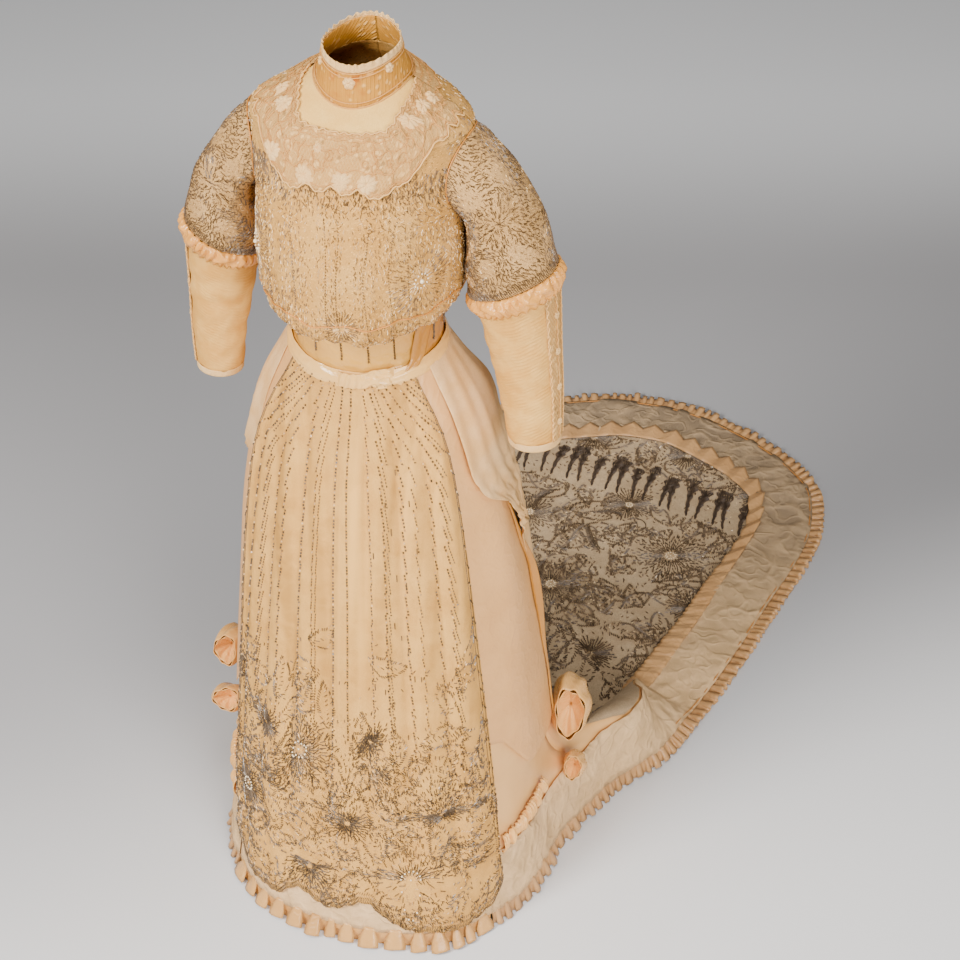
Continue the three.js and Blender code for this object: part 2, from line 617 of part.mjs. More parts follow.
// The beaded train panel falls from the back waist and lies inside the border.
const trainColumns = [...backColumns.slice(1), ...mirrored(backColumns).slice(1, -1).map((angle) => angle + 360)];
const train = onSkirt((angle, stage) => [angle, Math.max(stage, underBelt(angle))]);
const trainStages = [0, ...skirtStages.slice(1, -1)];
sew('train_panel', wall(train, trainColumns, trainStages, { lift: LAID }), trainNet);

// ---------------------------------------------------------------- border, frills and ruches
/** Stops along a stretch of columns, two to a pleat and one at every column. */
function pleatStops(columns, stage, pitch) {
  const stops = [columns[0]];
  for (let k = 0; k < columns.length - 1; k += 1) {
    const [from, to] = [columns[k], columns[k + 1]];
    const length = skirt(from, stage).distanceTo(skirt(to, stage));
    const count = 2 * Math.max(1, Math.round(length / pitch));
    stops.push(...steps(from, to, count).slice(1));
  }
  return stops;
}
const aroundTrain = [...sideColumns, ...backColumns.slice(1),
  ...mirrored(backColumns).slice(1).map((angle) => angle + 360),
  ...mirrored(sideColumns).slice(1).map((angle) => angle + 360)];
sew('hem_border_front', wall(skirtBase, frontColumns, [3, frillStage], { lift: LAID }), paleNet);
sew('hem_border_train', wall(skirtBase, aroundTrain, [3, frillStage], { lift: LAID }), paleNet);

const frillLift = (u, v, i, j) => (i % 2) * (j === 1 ? FRILL_DEPTH : 1);
const frill = (columns) => wall(skirtBase, pleatStops(columns, 4, FRILL_PITCH), [frillStage + 0.003, 4], { lift: frillLift });
sew('hem_frill_front', frill(frontColumns), ribbonSatin);
sew('hem_frill_train', frill(aroundTrain), ribbonSatin);

/** A narrow strip across the skirt's lines: `w` runs along the line, down or outwards, from a centre line. */
function strip(stageOf) {
  const at = (angle, w) => {
    const stage = stageOf(angle);
    const along = skirtBase.at(angle, stage + 0.02).sub(skirtBase.at(angle, stage - 0.02)).normalize();
    return skirtBase.at(angle, stage).addScaledVector(along, w);
  };
  return { at, out: (angle) => skirtBase.out(angle, stageOf(angle)) };
}
const RUCHE_HALF = 10;
const RUCHE_LINE = [
  { angle: 59, stage: 2.4 },
  { angle: 71, stage: 1.9 },
  { angle: 84, stage: 1.75 },
];
const zigzag = (low, high) => (u, v, i) => (i % 2 ? high : low);
for (const { side, sign } of SIDES) {
  const ruche = strip((angle) => read(RUCHE_LINE, 'angle', 'stage', Math.abs(angle)));
  const stops = steps(59, 84, 16).map((angle) => sign * angle);
  sew(`skirt_ruche_${side}`, wall(ruche, stops, [-RUCHE_HALF, RUCHE_HALF],
    { lift: zigzag(LAID + 0.4, LAID + 6) }), ribbonSatin);
}
const innerColumns = aroundTrain.filter((angle) => angle > 108 && angle < 252);
const innerFrill = strip(() => 2.995);
sew('train_inner_frill', wall(innerFrill, pleatStops(innerColumns, 3, FRILL_PITCH), [-11, 9],
  { lift: zigzag(LAID_TWICE + 1, LAID_TWICE + 10) }), ribbonSatin);

// Two satin loops finish each side drape's tip, where the ruche meets the train.
const LOOPS = [
  { name: 'left_upper', angle: 104, z: -771, stand: 40.4, tall: 62, deep: 32, length: 70, turn: -15 },
  { name: 'left_lower', angle: 97, z: -866, stand: 43.4, tall: 27, deep: 19, length: 50, turn: -30 },
  { name: 'right_upper', angle: -94, z: -722, stand: 42.1, tall: 36, deep: 26, length: 60, turn: -15 },
  { name: 'right_lower', angle: -88, z: -812, stand: 31, tall: 26, deep: 30, length: 50, turn: -30 },
];
const loopTurns = steps(0, 360, 10).slice(0, 10);
for (const loop of LOOPS) {
  const sign = Math.sign(loop.angle);
  const out = skirtBase.out(loop.angle, stageAt(loop.angle, loop.z));
  const flat = point(out.x, out.y, 0).normalize();
  const around = point(flat.y, -flat.x, 0).multiplyScalar(sign)
    .applyAxisAngle(flat, radians(sign * loop.turn));
  const up = flat.clone().cross(around);
  const centre = fall(loop.angle, loop.z).addScaledVector(flat, loop.stand);
  const at = (turn, share) => {
    const belly = 0.55 + 0.45 * Math.sin(Math.PI * (0.25 + 0.6 * share));
    return centre.clone()
      .addScaledVector(around, (share - 0.5) * loop.length)
      .addScaledVector(flat, Math.cos(radians(turn)) * loop.deep * belly)
      .addScaledVector(up, Math.sin(radians(turn)) * loop.tall * belly);
  };
  sew(`bow_loop_${loop.name}`, wall({ at, out: outward(at) }, loopTurns, [0, 0.35, 0.7, 1], { ring: true }),
    ribbonSatin);
}

export default gown;
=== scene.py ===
import math

import bpy
import numpy as np
from numpy import (
    arange, array, concatenate, cos, exp, full, hypot, interp, linspace, pi, radians, sin, stack, where
)
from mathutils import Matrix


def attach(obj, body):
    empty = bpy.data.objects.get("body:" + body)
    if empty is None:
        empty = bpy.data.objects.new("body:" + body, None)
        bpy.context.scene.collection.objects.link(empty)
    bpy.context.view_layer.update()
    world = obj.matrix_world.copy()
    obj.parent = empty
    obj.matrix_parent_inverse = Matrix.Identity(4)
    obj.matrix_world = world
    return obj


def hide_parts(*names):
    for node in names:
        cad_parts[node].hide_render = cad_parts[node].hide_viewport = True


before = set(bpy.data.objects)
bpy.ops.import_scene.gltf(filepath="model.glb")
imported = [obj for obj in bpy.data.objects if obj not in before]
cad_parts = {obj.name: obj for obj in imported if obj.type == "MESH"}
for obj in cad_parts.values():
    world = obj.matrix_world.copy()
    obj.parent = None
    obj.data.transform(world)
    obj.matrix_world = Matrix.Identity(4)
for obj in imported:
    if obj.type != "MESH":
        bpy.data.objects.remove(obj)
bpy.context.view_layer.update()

bl_info = {
    "name": "Trained gown",
    "version": (1, 0, 0),
    "blender": (4, 5, 0),
    "location": "View3D > Sidebar > Gown",
    "description": "Sews a bride's trained gown of about 1909 around its packed frame",
    "category": "Object",
}

# Sizes in this file are in millimetres, as a dressmaker has them, and become metres where a mesh is made.
MM = 0.001
FLOOR = -1030.0
# The border and its frill are as wide as this; the frill starts at a stage of the border.
BORDER, FRILL = 140.0, 28.0
FRILL_STAGE = 4 - FRILL / BORDER
# How far the hem stands to the wearer's left, and how much more the train does to a unit of its length.
HEM_SHIFT, TRAIN_SWEEP = 15.0, 0.136
# How steeply the border hangs at most, and how long the skirt's bend is where it hangs and where it lies.
FLARE = math.radians(81)
BEND_HANGING, BEND_LYING = 60.0, 150.0
# Directions in degrees of the seams between the gores, the train panel's edge and a side drape's edges.
GORE_EDGE, SIDE_EDGE, TRAIN_EDGE = 52.0, 96.0, 103.6
DRAPE_FRONT, DRAPE_BACK_EDGE = 44.0, 101.0
# The torso's top level.
NECK = 8
# How far a laid cloth stands off what is under it, the floor's gap, and the thin cloths' thicknesses.
LAID, FLOOR_GAP, THIN, RIBBON_THICK = 1.8, 0.5, 0.7, 0.8
# The floor place that the train's leaves are strewn round, and the direction up.
TRAIN_MIDDLE, UPWARD = (150, 780), array([0.0, 0.0, 1.0])
# The armhole is an ellipse of levels and directions.
ARM_LEVEL, ARM_RISE, ARM_REACH = 5.0, 0.995, 27.0
# The least cloth ahead of a bead for a millimetre of its flat length, and the heading down the cloth.
SQUEEZED, DOWN = 0.55, pi / 2
# The two sides of the gown: how far each arm hangs forward, out and up, how full its sleeve is, and how
# far the drapes stand off the skirt.
SIDES = {
    "left": {"sign": 1, "forward": 20, "out": 0, "rise": 0, "fullness": 1.04, "billow": 7},
    "right": {"sign": -1, "forward": -14, "out": -8, "rise": 12, "fullness": 0.94, "billow": 5},
}


def table(columns, *rows):
    """A table's columns by name, from its rows in the order of the first column."""
    values = array(sorted(rows), float)
    return {name: values[:, k] for k, name in enumerate(columns.split())}


TORSO = table(
    "level y half front back z_front z_side z_back",
    (0, 0, 107, 94, 86, 41, 37, 37), (1, 0, 121, 130, 92, 34, 40, 46), (2, 0, 137, 159, 98, 62, 66, 76),
    (3, 0, 142, 157, 105, 132, 130, 142), (4, 0, 140, 138, 110, 205, 196, 215),
    (5, 2, 146, 114, 105, 256, 252, 282), (6, 6, 150, 98, 90, 290, 302, 328),
    (7, 14, 104, 84, 72, 314, 332, 352), (8, 22, 62, 66, 56, 331, 353, 368),
)
FALL = table(
    "z half front back",
    (36, 107, 96, 86), (10, 104, 91, 84), (-16, 105, 90, 86), (-60, 124, 98, 104),
    (-120, 151, 112, 134), (-200, 174, 130, 172), (-300, 192, 150, 212), (-400, 206, 168, 245),
    (-600, 230, 200, 300), (-800, 251, 232, 356), (-1030, 272, 266, 420),
)
HEM = table(
    "angle x y",
    (0, 0, -270), (8, 38, -268), (30, 139, -246), (60, 242, -146), (76, 272, -66), (90, 283, 25),
    (100, 316, 143), (110, 390, 283), (120, 430, 480), (130, 453, 690), (140, 472, 905),
    (150, 436, 1078), (160, 338, 1192), (170, 188, 1283), (177, 56, 1328), (180, 0, 1332),
)
NECKLINE = table(
    "angle inner outer",
    (0, 6.84, 4.98), (27, 6.82, 4.92), (36, 7.0, 5.2), (42, 7.2, 5.62), (50, 7.38, 6.1),
    (66, 7.6, 6.42), (90, 7.88, 6.6),
)
PANEL = table("z half", (-45, 47), (-165, 54), (-600, 56), (-900, 57))
PANEL_HEM = table(
    "angle above",
    (-57, 92), (-48, 68), (-38, 52), (-27, 52), (-18, 82), (-6, 64), (7, 90), (14, 60), (25, 38),
    (40, 34), (52, 54), (57, 92),
)
DRAPE_BACK = table("z angle", (-45, 76), (-190, 82), (-296, 92), (-376, 97), (-452, 101), (-800, 100))
DRAPE_HEM = table(
    "angle z", (44, -684), (57, -684), (63, -692), (69, -724), (79, -776), (93, -786), (101, -792)
)
HIP = table(
    "z start stop",
    (-45, 60, 122), (-192, 62, 121), (-240, 68, 120), (-296, 88, 118), (-376, 95, 115),
    (-450, 100, 113), (-600, 103, 110),
)
# Sleeve rings from the top down: middle x, y and z, tilt in degrees, half width and half depth.
OVER_SLEEVE = ((169, 0, 217, 70, 57, 54), (195, 0, 154, 42, 62, 60), (209, 0, 96, 24, 62, 60))
UNDER_SLEEVE = (
    (208, 0, 103, 24, 59, 57), (216, 0, 72, 22, 56, 54), (228, 0, -6, 12, 47, 45),
    (240, 0, -86, 6, 40, 39), (247, 0, -155, 4, 35, 34),
)
GORES = {
    "skirt_front": (-GORE_EDGE, GORE_EDGE, 37), "skirt_side_left": (GORE_EDGE, SIDE_EDGE, 25),
    "skirt_side_right": (-SIDE_EDGE, -GORE_EDGE, 25), "skirt_back_left": (SIDE_EDGE, 180, 41),
    "skirt_back_right": (-180, -SIDE_EDGE, 41),
}
RUCHE_LINE = table("angle stage", (59, 2.4), (71, 1.9), (84, 1.75))
# Bow loops: direction, height, stand off the skirt, half height, half depth, length and lean in degrees.
LOOPS = {
    "left_upper": (104, -771, 40.4, 62, 32, 70, -15),
    "left_lower": (97, -866, 43.4, 27, 19, 50, -30),
    "right_upper": (-94, -722, 42.1, 36, 26, 60, -15),
    "right_lower": (-88, -812, 31, 26, 30, 50, -30),
}
# Lights: name, place and target in metres, width, power and colour.
LIGHTS = (
    ("key", (-1.7, -2.5, 1.8), (0.15, -0.2, -0.3), 1.5, 212, (1.0, 0.98, 0.95)),
    ("fill", (1.9, -2.3, 0.6), (0.25, -0.1, -0.7), 1.6, 115, (1.0, 0.98, 0.96)),
    ("top", (0.5, -1.0, 2.8), (0.6, 0.1, -1.0), 1.5, 70, (1, 1, 1)),
)
CAMERA = {"lens": 70.39, "sensor": 36, "place": (0.7554, -2.0721, 1.42), "turn": (52, 0, 16)}
# Worked flowers of the neck lace: direction in degrees, share of the lace's depth and radius. Those of the
# collar, the panel and the train: place on the flat cloth, radius and number of petals.
LACE_FLOWERS = (
    (-62, 0.5, 10), (-44, 0.42, 13), (-35, 0.82, 14), (-15, 0.86, 14), (4, 0.88, 13.5), (17, 0.89, 14),
    (42, 0.35, 13.5), (60, 0.4, 11), (-8, 0.42, 7), (76, 0.5, 10),
)
COLLAR_FLOWERS = ((1, 17, 9, 6), (58, 14, 7, 5), (-58, 15, 6.5, 5))
PANEL_FLOWERS = (
    (-96, 640, 60, 12), (104, 850, 64, 14), (-210, 780, 44, 10), (8, 752, 40, 10), (196, 690, 44, 10),
    (-70, 862, 42, 10), (-180, 590, 30, 9), (60, 590, 28, 9),
)
TRAIN_FLOWERS = (
    (120, 650, 66, 12), (330, 800, 72, 14), (470, 1040, 44, 10), (20, 860, 60, 12), (215, 940, 50, 10),
    (-150, 950, 60, 12), (400, 660, 46, 10), (90, 1150, 46, 10), (300, 1140, 44, 10), (240, 480, 44, 10),
    (-220, 760, 54, 10), (-60, 560, 50, 10),
)


# ---- arithmetic on whole arrays
def mix(a, b, share):
    """The value a share of the way from one to another."""
    return a + (b - a) * share


def ease(share):
    """A smooth step from 0 to 1: three times the square less twice the cube, level beyond its ends."""
    share = np.clip(share, 0, 1)
    return share * share * (3 - 2 * share)


def xyz(x, y, z):
    """Points from their three coordinates."""
    return stack(np.broadcast_arrays(x, y, z), -1).astype(float)


def unit(vectors):
    """Vectors divided by their lengths."""
    return vectors / np.maximum(np.linalg.norm(vectors, axis=-1, keepdims=True), 1e-9)


def circle(angle):
    """Cosine and sine of an angle in degrees."""
    return cos(radians(angle)), sin(radians(angle))


def steps(count):
    """Even steps from 0 to 1."""
    return linspace(0, 1, count)


def full_turn(count):
    """Even directions all the way round, in degrees."""
    return linspace(-180, 180, count + 1)[:-1]


def stepped(points):
    """Running length along a line of points, from 0."""
    return concatenate([[0], np.cumsum(np.linalg.norm(np.diff(points, axis=0), axis=1))])


def through(keys, values, at):
    """Values between a table's rows: a cubic in each gap, whose slope at a row is the harmonic mean of
    its neighbours' slopes, or zero where they turn, so that it never overshoots the rows."""
    at = np.clip(np.asarray(at, float), keys[0], keys[-1])
    values = np.asarray(values, float)
    width = np.diff(keys)
    slope = np.diff(values, axis=0) / width.reshape(-1, *[1] * (values.ndim - 1))
    product, total = slope[1:] * slope[:-1], slope[1:] + slope[:-1]
    inner = where(product > 0, 2 * product / where(product > 0, total, 1), 0)
    tangent = concatenate([slope[:1], inner, slope[-1:]])
    k = np.clip(np.searchsorted(keys, at, side="right") - 1, 0, len(keys) - 2)
    if values.ndim == 1:
        low, high, start, end = values[k], values[k + 1], tangent[k], tangent[k + 1]
    else:
        low, high, start, end = (
            np.take_along_axis(part, place[None], 0)[0]
            for part, place in ((values, k), (values, k + 1), (tangent, k), (tangent, k + 1))
        )
    t = (at - keys[k]) / width[k]
    return mix(low, high, ease(t)) + width[k] * (start * t * (1 - t) ** 2 - end * t**2 * (1 - t))


def waves(u, v, seed, low=1.0, high=3.0, count=7, squeeze=1.0):
    """A smooth uneven surface, mostly between -1 and 1: a sum of plane waves in random directions, each
    of `low` to `high` turns to a unit; `squeeze` above 1 draws the waves out along v."""
    draw = np.random.default_rng(seed)
    heading, turns, phase = (draw.uniform(a, b, count) for a, b in ((0, pi), (low, high), (0, 2 * pi)))
    along = np.multiply.outer(u, turns * cos(heading))
    down = np.multiply.outer(v, turns * sin(heading) / squeeze)
    return sin(2 * pi * (along + down) + phase).sum(-1) / math.sqrt(count)


def creases(u, v, seed, **kinds):
    """Soft folds with narrow ridges, between 0 and 1: one less the size of an uneven surface."""
    return 1 - np.clip(abs(waves(u, v, seed, **kinds)), 0, 1) ** 0.7


# ---- the gown's own surfaces
def torso(angle, level):
    """A ring of the torso at a level, an ellipse with its own depth before and behind and its own height
    at front, side and back."""
    c, s = circle(angle)
    read = {name: through(TORSO["level"], values, level) for name, values in TORSO.items()}
    depth = where(c > 0, read["front"], read["back"])
    end = where(c > 0, read["z_front"], read["z_back"])
    return xyz(read["half"] * s, read["y"] - depth * c, mix(read["z_side"], end, c * c))


def fall(angle, z):
    """The hanging skirt: an ellipse at each height, drawn a little to the wearer's left by the train."""
    c, s = circle(angle)
    read = {name: through(FALL["z"], values, z) for name, values in FALL.items()}
    swing = HEM_SHIFT * np.maximum(0, z / FLOOR) ** 1.5
    return xyz(read["half"] * s + swing, -where(c > 0, read["front"], read["back"]) * c, z)


def waist_seam(angle):
    """The height of the skirt's seam, which dips towards the front."""
    return mix(-25, -50, ((1 + circle(angle)[0]) / 2) ** 2)


def hem_line(angle):
    """The hem on the floor, between its table's rows, the same on both sides but for a shift and the
    train's sweep to one side."""
    turn = (np.asarray(angle, float) + 180) % 360 - 180
    x, y = (through(HEM["angle"], HEM[name], abs(turn)) for name in "xy")
    return xyz(np.sign(turn) * x + HEM_SHIFT + TRAIN_SWEEP * np.maximum(0, y), y, FLOOR)


def bends(angle):
    """Where the skirt's line in a direction leaves its hanging part, meets the floor, reaches the border
    and ends. The border hangs steeply where the hem is under the skirt and lies flat where it is clear."""
    hem = hem_line(angle)
    along = unit(hem_line(angle + 0.5) - hem_line(angle - 0.5))
    inward = xyz(-along[..., 1], along[..., 0], 0)
    clear = ((fall(angle, FLOOR) - hem) * inward).sum(-1) / BORDER
    lie = np.clip(clear, math.cos(FLARE), 1)
    inner = hem + inward * (BORDER * lie)[..., None]
    inner[..., 2] += BORDER * np.sqrt(1 - lie * lie)
    size = mix(BEND_HANGING, BEND_LYING, lie)
    corner = fall(angle, inner[..., 2] + mix(BEND_HANGING, 0, lie))
    run = inner - corner
    reach = np.linalg.norm(run, axis=-1)
    landing = corner + unit(run) * np.minimum(size, reach * 0.6)[..., None]
    return corner[..., 2] + size, corner, landing, inner, hem


def skirt(angle, stage):
    """The skirt in a direction and at a stage: 0-1 it hangs, 1-2 it bends in a parabola, 2-3 it runs
    along the floor, 3-4 it is the border out to the hem."""
    angle, stage = np.broadcast_arrays(np.asarray(angle, float), np.asarray(stage, float))
    knee, corner, landing, inner, hem = bends(angle)
    seam = waist_seam(angle)
    hanging = fall(angle, mix(seam, knee, np.clip(stage, 0, 1)))
    t = np.clip(stage - 1, 0, 1)[..., None]
    bent = mix(mix(fall(angle, knee), corner, t), mix(corner, landing, t), t)
    lying = mix(landing, inner, np.clip(stage - 2, 0, 1)[..., None])
    edging = mix(inner, hem, np.clip(stage - 3, 0, 1)[..., None])
    s = stage[..., None]
    return where(s <= 1, hanging, where(s <= 2, bent, where(s <= 3, lying, edging)))


def stage_at(angle, z):
    """The stage at which the hanging skirt reaches a height."""
    top = waist_seam(angle)
    return (z - top) / (bends(np.asarray(angle, float))[0] - top)


def under_belt(angle):
    """The stage just below the waist's seam, where what hangs from the belt begins."""
    return stage_at(angle, waist_seam(angle) - 0.3)


def arm_edge(level):
    """Half the angle that the bodice covers at a level, out to the side seam or the armhole."""
    off = np.clip((level - ARM_LEVEL) / ARM_RISE, -1, 1)
    return 90 - ARM_REACH * np.sqrt(1 - off * off)


def neckline(angle):
    """The level at which the bodice ends, from its table."""
    return through(NECKLINE["angle"], NECKLINE["inner"], abs(angle))


def lace_edge(angle):
    """The level at which the neck's lace ends, from its table."""
    return through(NECKLINE["angle"], NECKLINE["outer"], abs(angle))


def sleeve(rings, side, turn, stage):
    """A sleeve through its rings, turn 0 being its outer line, 90 its back and 180 its inner line. A ring
    is an ellipse turned up on its outer side; a ring of None is the armhole itself."""
    turn, stage = np.broadcast_arrays(np.asarray(turn, float), np.asarray(stage, float))
    c, s = circle(turn)
    sign = side["sign"]
    rows = []
    for ring in rings:
        if ring is None:
            angle, level = sign * (90 + ARM_REACH * s), ARM_LEVEL + ARM_RISE * c
            step = 0.5
            across = torso(angle + step, level) - torso(angle - step, level)
            down = torso(angle, level + step / 50) - torso(angle, level - step / 50)
            out = unit(np.cross(across, down))
            rows.append(torso(angle, level) + out * (2.0 + np.maximum(0, -c))[..., None])
            continue
        x, y, z, tilt, wide, fore = ring
        out = wide * side["fullness"] * c
        below = min(1, max(0, (200 - z) / 360))
        tc, ts = circle(tilt)
        rows.append(xyz(
            sign * (x + side["out"] * math.sqrt(below) + out * tc),
            y - side["forward"] * below + fore * side["fullness"] * s,
            z + side["rise"] * below + out * ts,
        ))
    keys = arange(len(rings), dtype=float)
    values = stack(rows)
    return stack([through(keys, values[..., k], stage) for k in range(3)], -1)


def collar_wall(angle, share):
    """The collar from the torso's top ring to its rim, drawn in a little half way."""
    c, s = circle(angle)
    rim = xyz(49 * s, 18 - 55 * c, mix(395, where(c > 0, 384, 408), c * c))
    base = torso(angle, NECK) + xyz(s, -c, 0) * 1.7
    return mix(base, rim, share[..., None]) - xyz(s, -c, 0) * (sin(pi * share) * 1.5)[..., None]


def waist_wall(angle, stage):
    """The waistband: 0-1 from the pouch to the belt's top, 1-2 behind the belt to the skirt's seam."""
    pouch = torso(angle, 0)[..., 2] - 1.7
    seam = waist_seam(angle)
    top = seam + 16
    z = where(stage < 1, mix(pouch, top, stage), mix(top, seam, stage - 1))
    return fall(angle, z)


# ---- sheets of cloth
def normals(points, ring=False):
    """The unit direction out of a grid of points, from the differences of its neighbours; a ring's ends
    are each other's neighbours."""
    if ring:
        across = np.roll(points, -1, 0) - np.roll(points, 1, 0)
    else:
        across = np.gradient(points, axis=0)
    return unit(np.cross(across, np.gradient(points, axis=1)))


def lengths(points, axis):
    """Running lengths along one axis of a grid, from 0."""
    step = np.cumsum(np.linalg.norm(np.diff(points, axis=axis), axis=-1), axis)
    return concatenate([np.zeros_like(np.take(step, [0], axis)), step], axis)


class Cloth:
    """A sheet on a grid: `at` is its surface as a function of two parameters, the first across it and the
    second down it, and `lift` how far it stands off that surface along `turn` times its normal."""

    def __init__(self, at, across, down, lift=0.0, turn=1, ring=False):
        self.u, self.v = np.meshgrid(np.asarray(across, float), np.asarray(down, float), indexing="ij")
        base = at(self.u, self.v)
        out = turn * normals(base, ring)
        off = lift(self.u, self.v) if callable(lift) else lift
        self.points = base + out * np.broadcast_to(off, self.u.shape)[..., None]
        self.ring, self.turn = ring, turn
        self.out = turn * normals(self.points, ring)
        wide = lengths(self.points, 0)
        self.wide = wide - wide[len(wide) // 2]
        self.long = lengths(self.points, 1)

    def flat(self):
        """The width, length and area that the cloth was cut to, in metres: its longest thread across and
        its longest down, and the surface between them."""
        points = concatenate([self.points, self.points[:1]]) if self.ring else self.points
        width, length = lengths(points, 0)[-1].max(), lengths(points, 1)[:, -1].max()
        near, side, below, far = points[:-1, :-1], points[1:, :-1], points[:-1, 1:], points[1:, 1:]
        area = (np.linalg.norm(np.cross(side - near, below - near), axis=-1)
                + np.linalg.norm(np.cross(side - far, below - far), axis=-1)).sum() / 2
        width, length = (math.ceil(value) * MM for value in (width, length))
        return (width, length), float(np.clip(area * MM * MM, 0.31 * width * length, width * length))

    def sample(self, grid, i, j):
        """A grid's values between its points, by the four points around each place."""
        m, n = self.u.shape
        i = np.clip(i, 0, m - 1.001)
        j = np.clip(j, 0, n - 1.001)
        a, b = i.astype(int), j.astype(int)
        s, t = (i - a), (j - b)
        if grid.ndim == 3:
            s, t = s[..., None], t[..., None]
        return mix(mix(grid[a, b], grid[a + 1, b], s), mix(grid[a, b + 1], grid[a + 1, b + 1], s), t)

    def spots(self, i, j, rise=0.0):
        """Points at grid places, `rise` off the cloth, and the directions out of it there."""
        out = unit(self.sample(self.out, i, j))
        return self.sample(self.points, i, j) + out * rise, out

    def near(self, middle, x, y):
        """Grid places of the flat places round a middle one, true to size there in every direction: a
        least squares fit to how the points move along the grid's two directions."""
        i, j = (part[0] for part in self.find(*(array([float(value)]) for value in middle))[:2])
        ends = self.sample(self.points, array([i + 1, i - 1, i, i]), array([j, j, j + 1, j - 1]))
        moves = stack([ends[0] - ends[1], ends[2] - ends[3]], 1) / 2
        across = unit(moves[:, 0])
        down = unit(moves[:, 1] - across * (moves[:, 1] @ across))
        away = (x - middle[0])[..., None] * across + (y - middle[1])[..., None] * down
        step = away @ np.linalg.pinv(moves).T
        return i + step[..., 0], j + step[..., 1]

    def find(self, x, y):
        """The grid place of a point of the flat cloth, x to the side of its middle column and y down it,
        and whether the cloth reaches that far."""
        m, n = self.u.shape
        middle = self.long[m // 2]
        j = interp(y, middle, arange(n))
        row = np.clip(np.round(j).astype(int), 0, n - 1)
        low, high = self.wide[0, row], self.wide[-1, row]
        i = where(x < 0, (m // 2) * (1 - x / np.minimum(low, -1e-6)),
                  m // 2 + (m - 1 - m // 2) * x / np.maximum(high, 1e-6))
        return i, j, (x > low) & (x < high) & (y > 0) & (y < middle[-1])


def mesh_object(name, points, faces, material, uv=None, shade=None, smooth=True):
    """A mesh in metres from points in millimetres and faces of equal size."""
    mesh = bpy.data.meshes.new(name)
    points = np.asarray(points, float).reshape(-1, 3) * MM
    faces = np.asarray(faces, np.int32)
    size = faces.shape[1]
    mesh.vertices.add(len(points))
    mesh.vertices.foreach_set("co", points.ravel())
    mesh.loops.add(faces.size)
    mesh.loops.foreach_set("vertex_index", faces.ravel())
    mesh.polygons.add(len(faces))
    mesh.polygons.foreach_set("loop_start", arange(0, faces.size, size, dtype=np.int32))
    mesh.polygons.foreach_set("use_smooth", full(len(faces), smooth))
    if uv is not None:
        layer = mesh.uv_layers.new(name="cloth")
        layer.data.foreach_set("uv", (np.asarray(uv, float).reshape(-1, 2)[faces.ravel()] * MM).ravel())
    if shade is not None:
        layer = mesh.attributes.new("shade", "FLOAT", "POINT")
        layer.data.foreach_set("value", np.asarray(shade, np.float32).ravel())
    mesh.update()
    mesh.validate()
    mesh.materials.append(material)
    piece = bpy.data.objects.new(name, mesh)
    bpy.context.scene.collection.objects.link(piece)
    return piece


def grid_faces(m, n, ring=False):
    """Quads over a grid of m by n points, whose last column meets the first where it is a ring."""
    i, j = np.meshgrid(arange(m if ring else m - 1), arange(n - 1), indexing="ij")
    near, side = i * n + j, (i + 1) % m * n + j
    return stack([near, side, side + 1, near + 1], -1).reshape(-1, 4)


def dress(piece, node=None):
    """A piece carried by the root, in the place of a node if one is given."""
    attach(piece, "root")
    if node:
        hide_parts(node)


def sew(name, cloth, look, thick=None, inward=True, extra=False):
    """A cloth as an object with its own thickness, ridden by the root. It takes the place of the solid
    whose name its own begins with, all but its last word, unless it is an extra one."""
    m, n = cloth.u.shape
    faces = grid_faces(m, n, cloth.ring)
    if cloth.turn < 0:
        faces = faces[:, ::-1]
    uv = stack([cloth.wide, cloth.long], -1)
    piece = mesh_object(name, cloth.points, faces, finish(look), uv)
    wall = piece.modifiers.new("thickness", "SOLIDIFY")
    wall.thickness = sizes().cloth if thick is None else thick * MM
    wall.offset = -1 if inward else 1
    dress(piece, None if extra else name.rpartition("_")[0])
    flat, area = cloth.flat()


# ---- finishes
class Signal:
    """A shader value or colour that Python's operators work on: each adds a Math node."""

    def __init__(self, finish, socket):
        self.finish, self.socket = finish, socket

    def _maths(self, operation, *values):
        return self.finish.node("ShaderNodeMath", {"operation": operation}, dict(enumerate(values)))

    def __add__(self, other):
        return self._maths("ADD", self, other)

    def __sub__(self, other):
        return self._maths("SUBTRACT", self, other)

    def __rsub__(self, other):
        return self._maths("SUBTRACT", other, self)

    def __mul__(self, other):
        return self._maths("MULTIPLY", self, other)

    __radd__, __rmul__ = __add__, __mul__

    def wave(self):
        return self._maths("SINE", self)

    def size(self):
        return self._maths("ABSOLUTE", self)

    def between(self, low, high):
        """0 below `low`, 1 above `high`, and a smooth step between."""
        return self.finish.node("ShaderNodeMapRange", {"interpolation_type": "SMOOTHSTEP"},
                                {0: self, 1: low, 2: high})


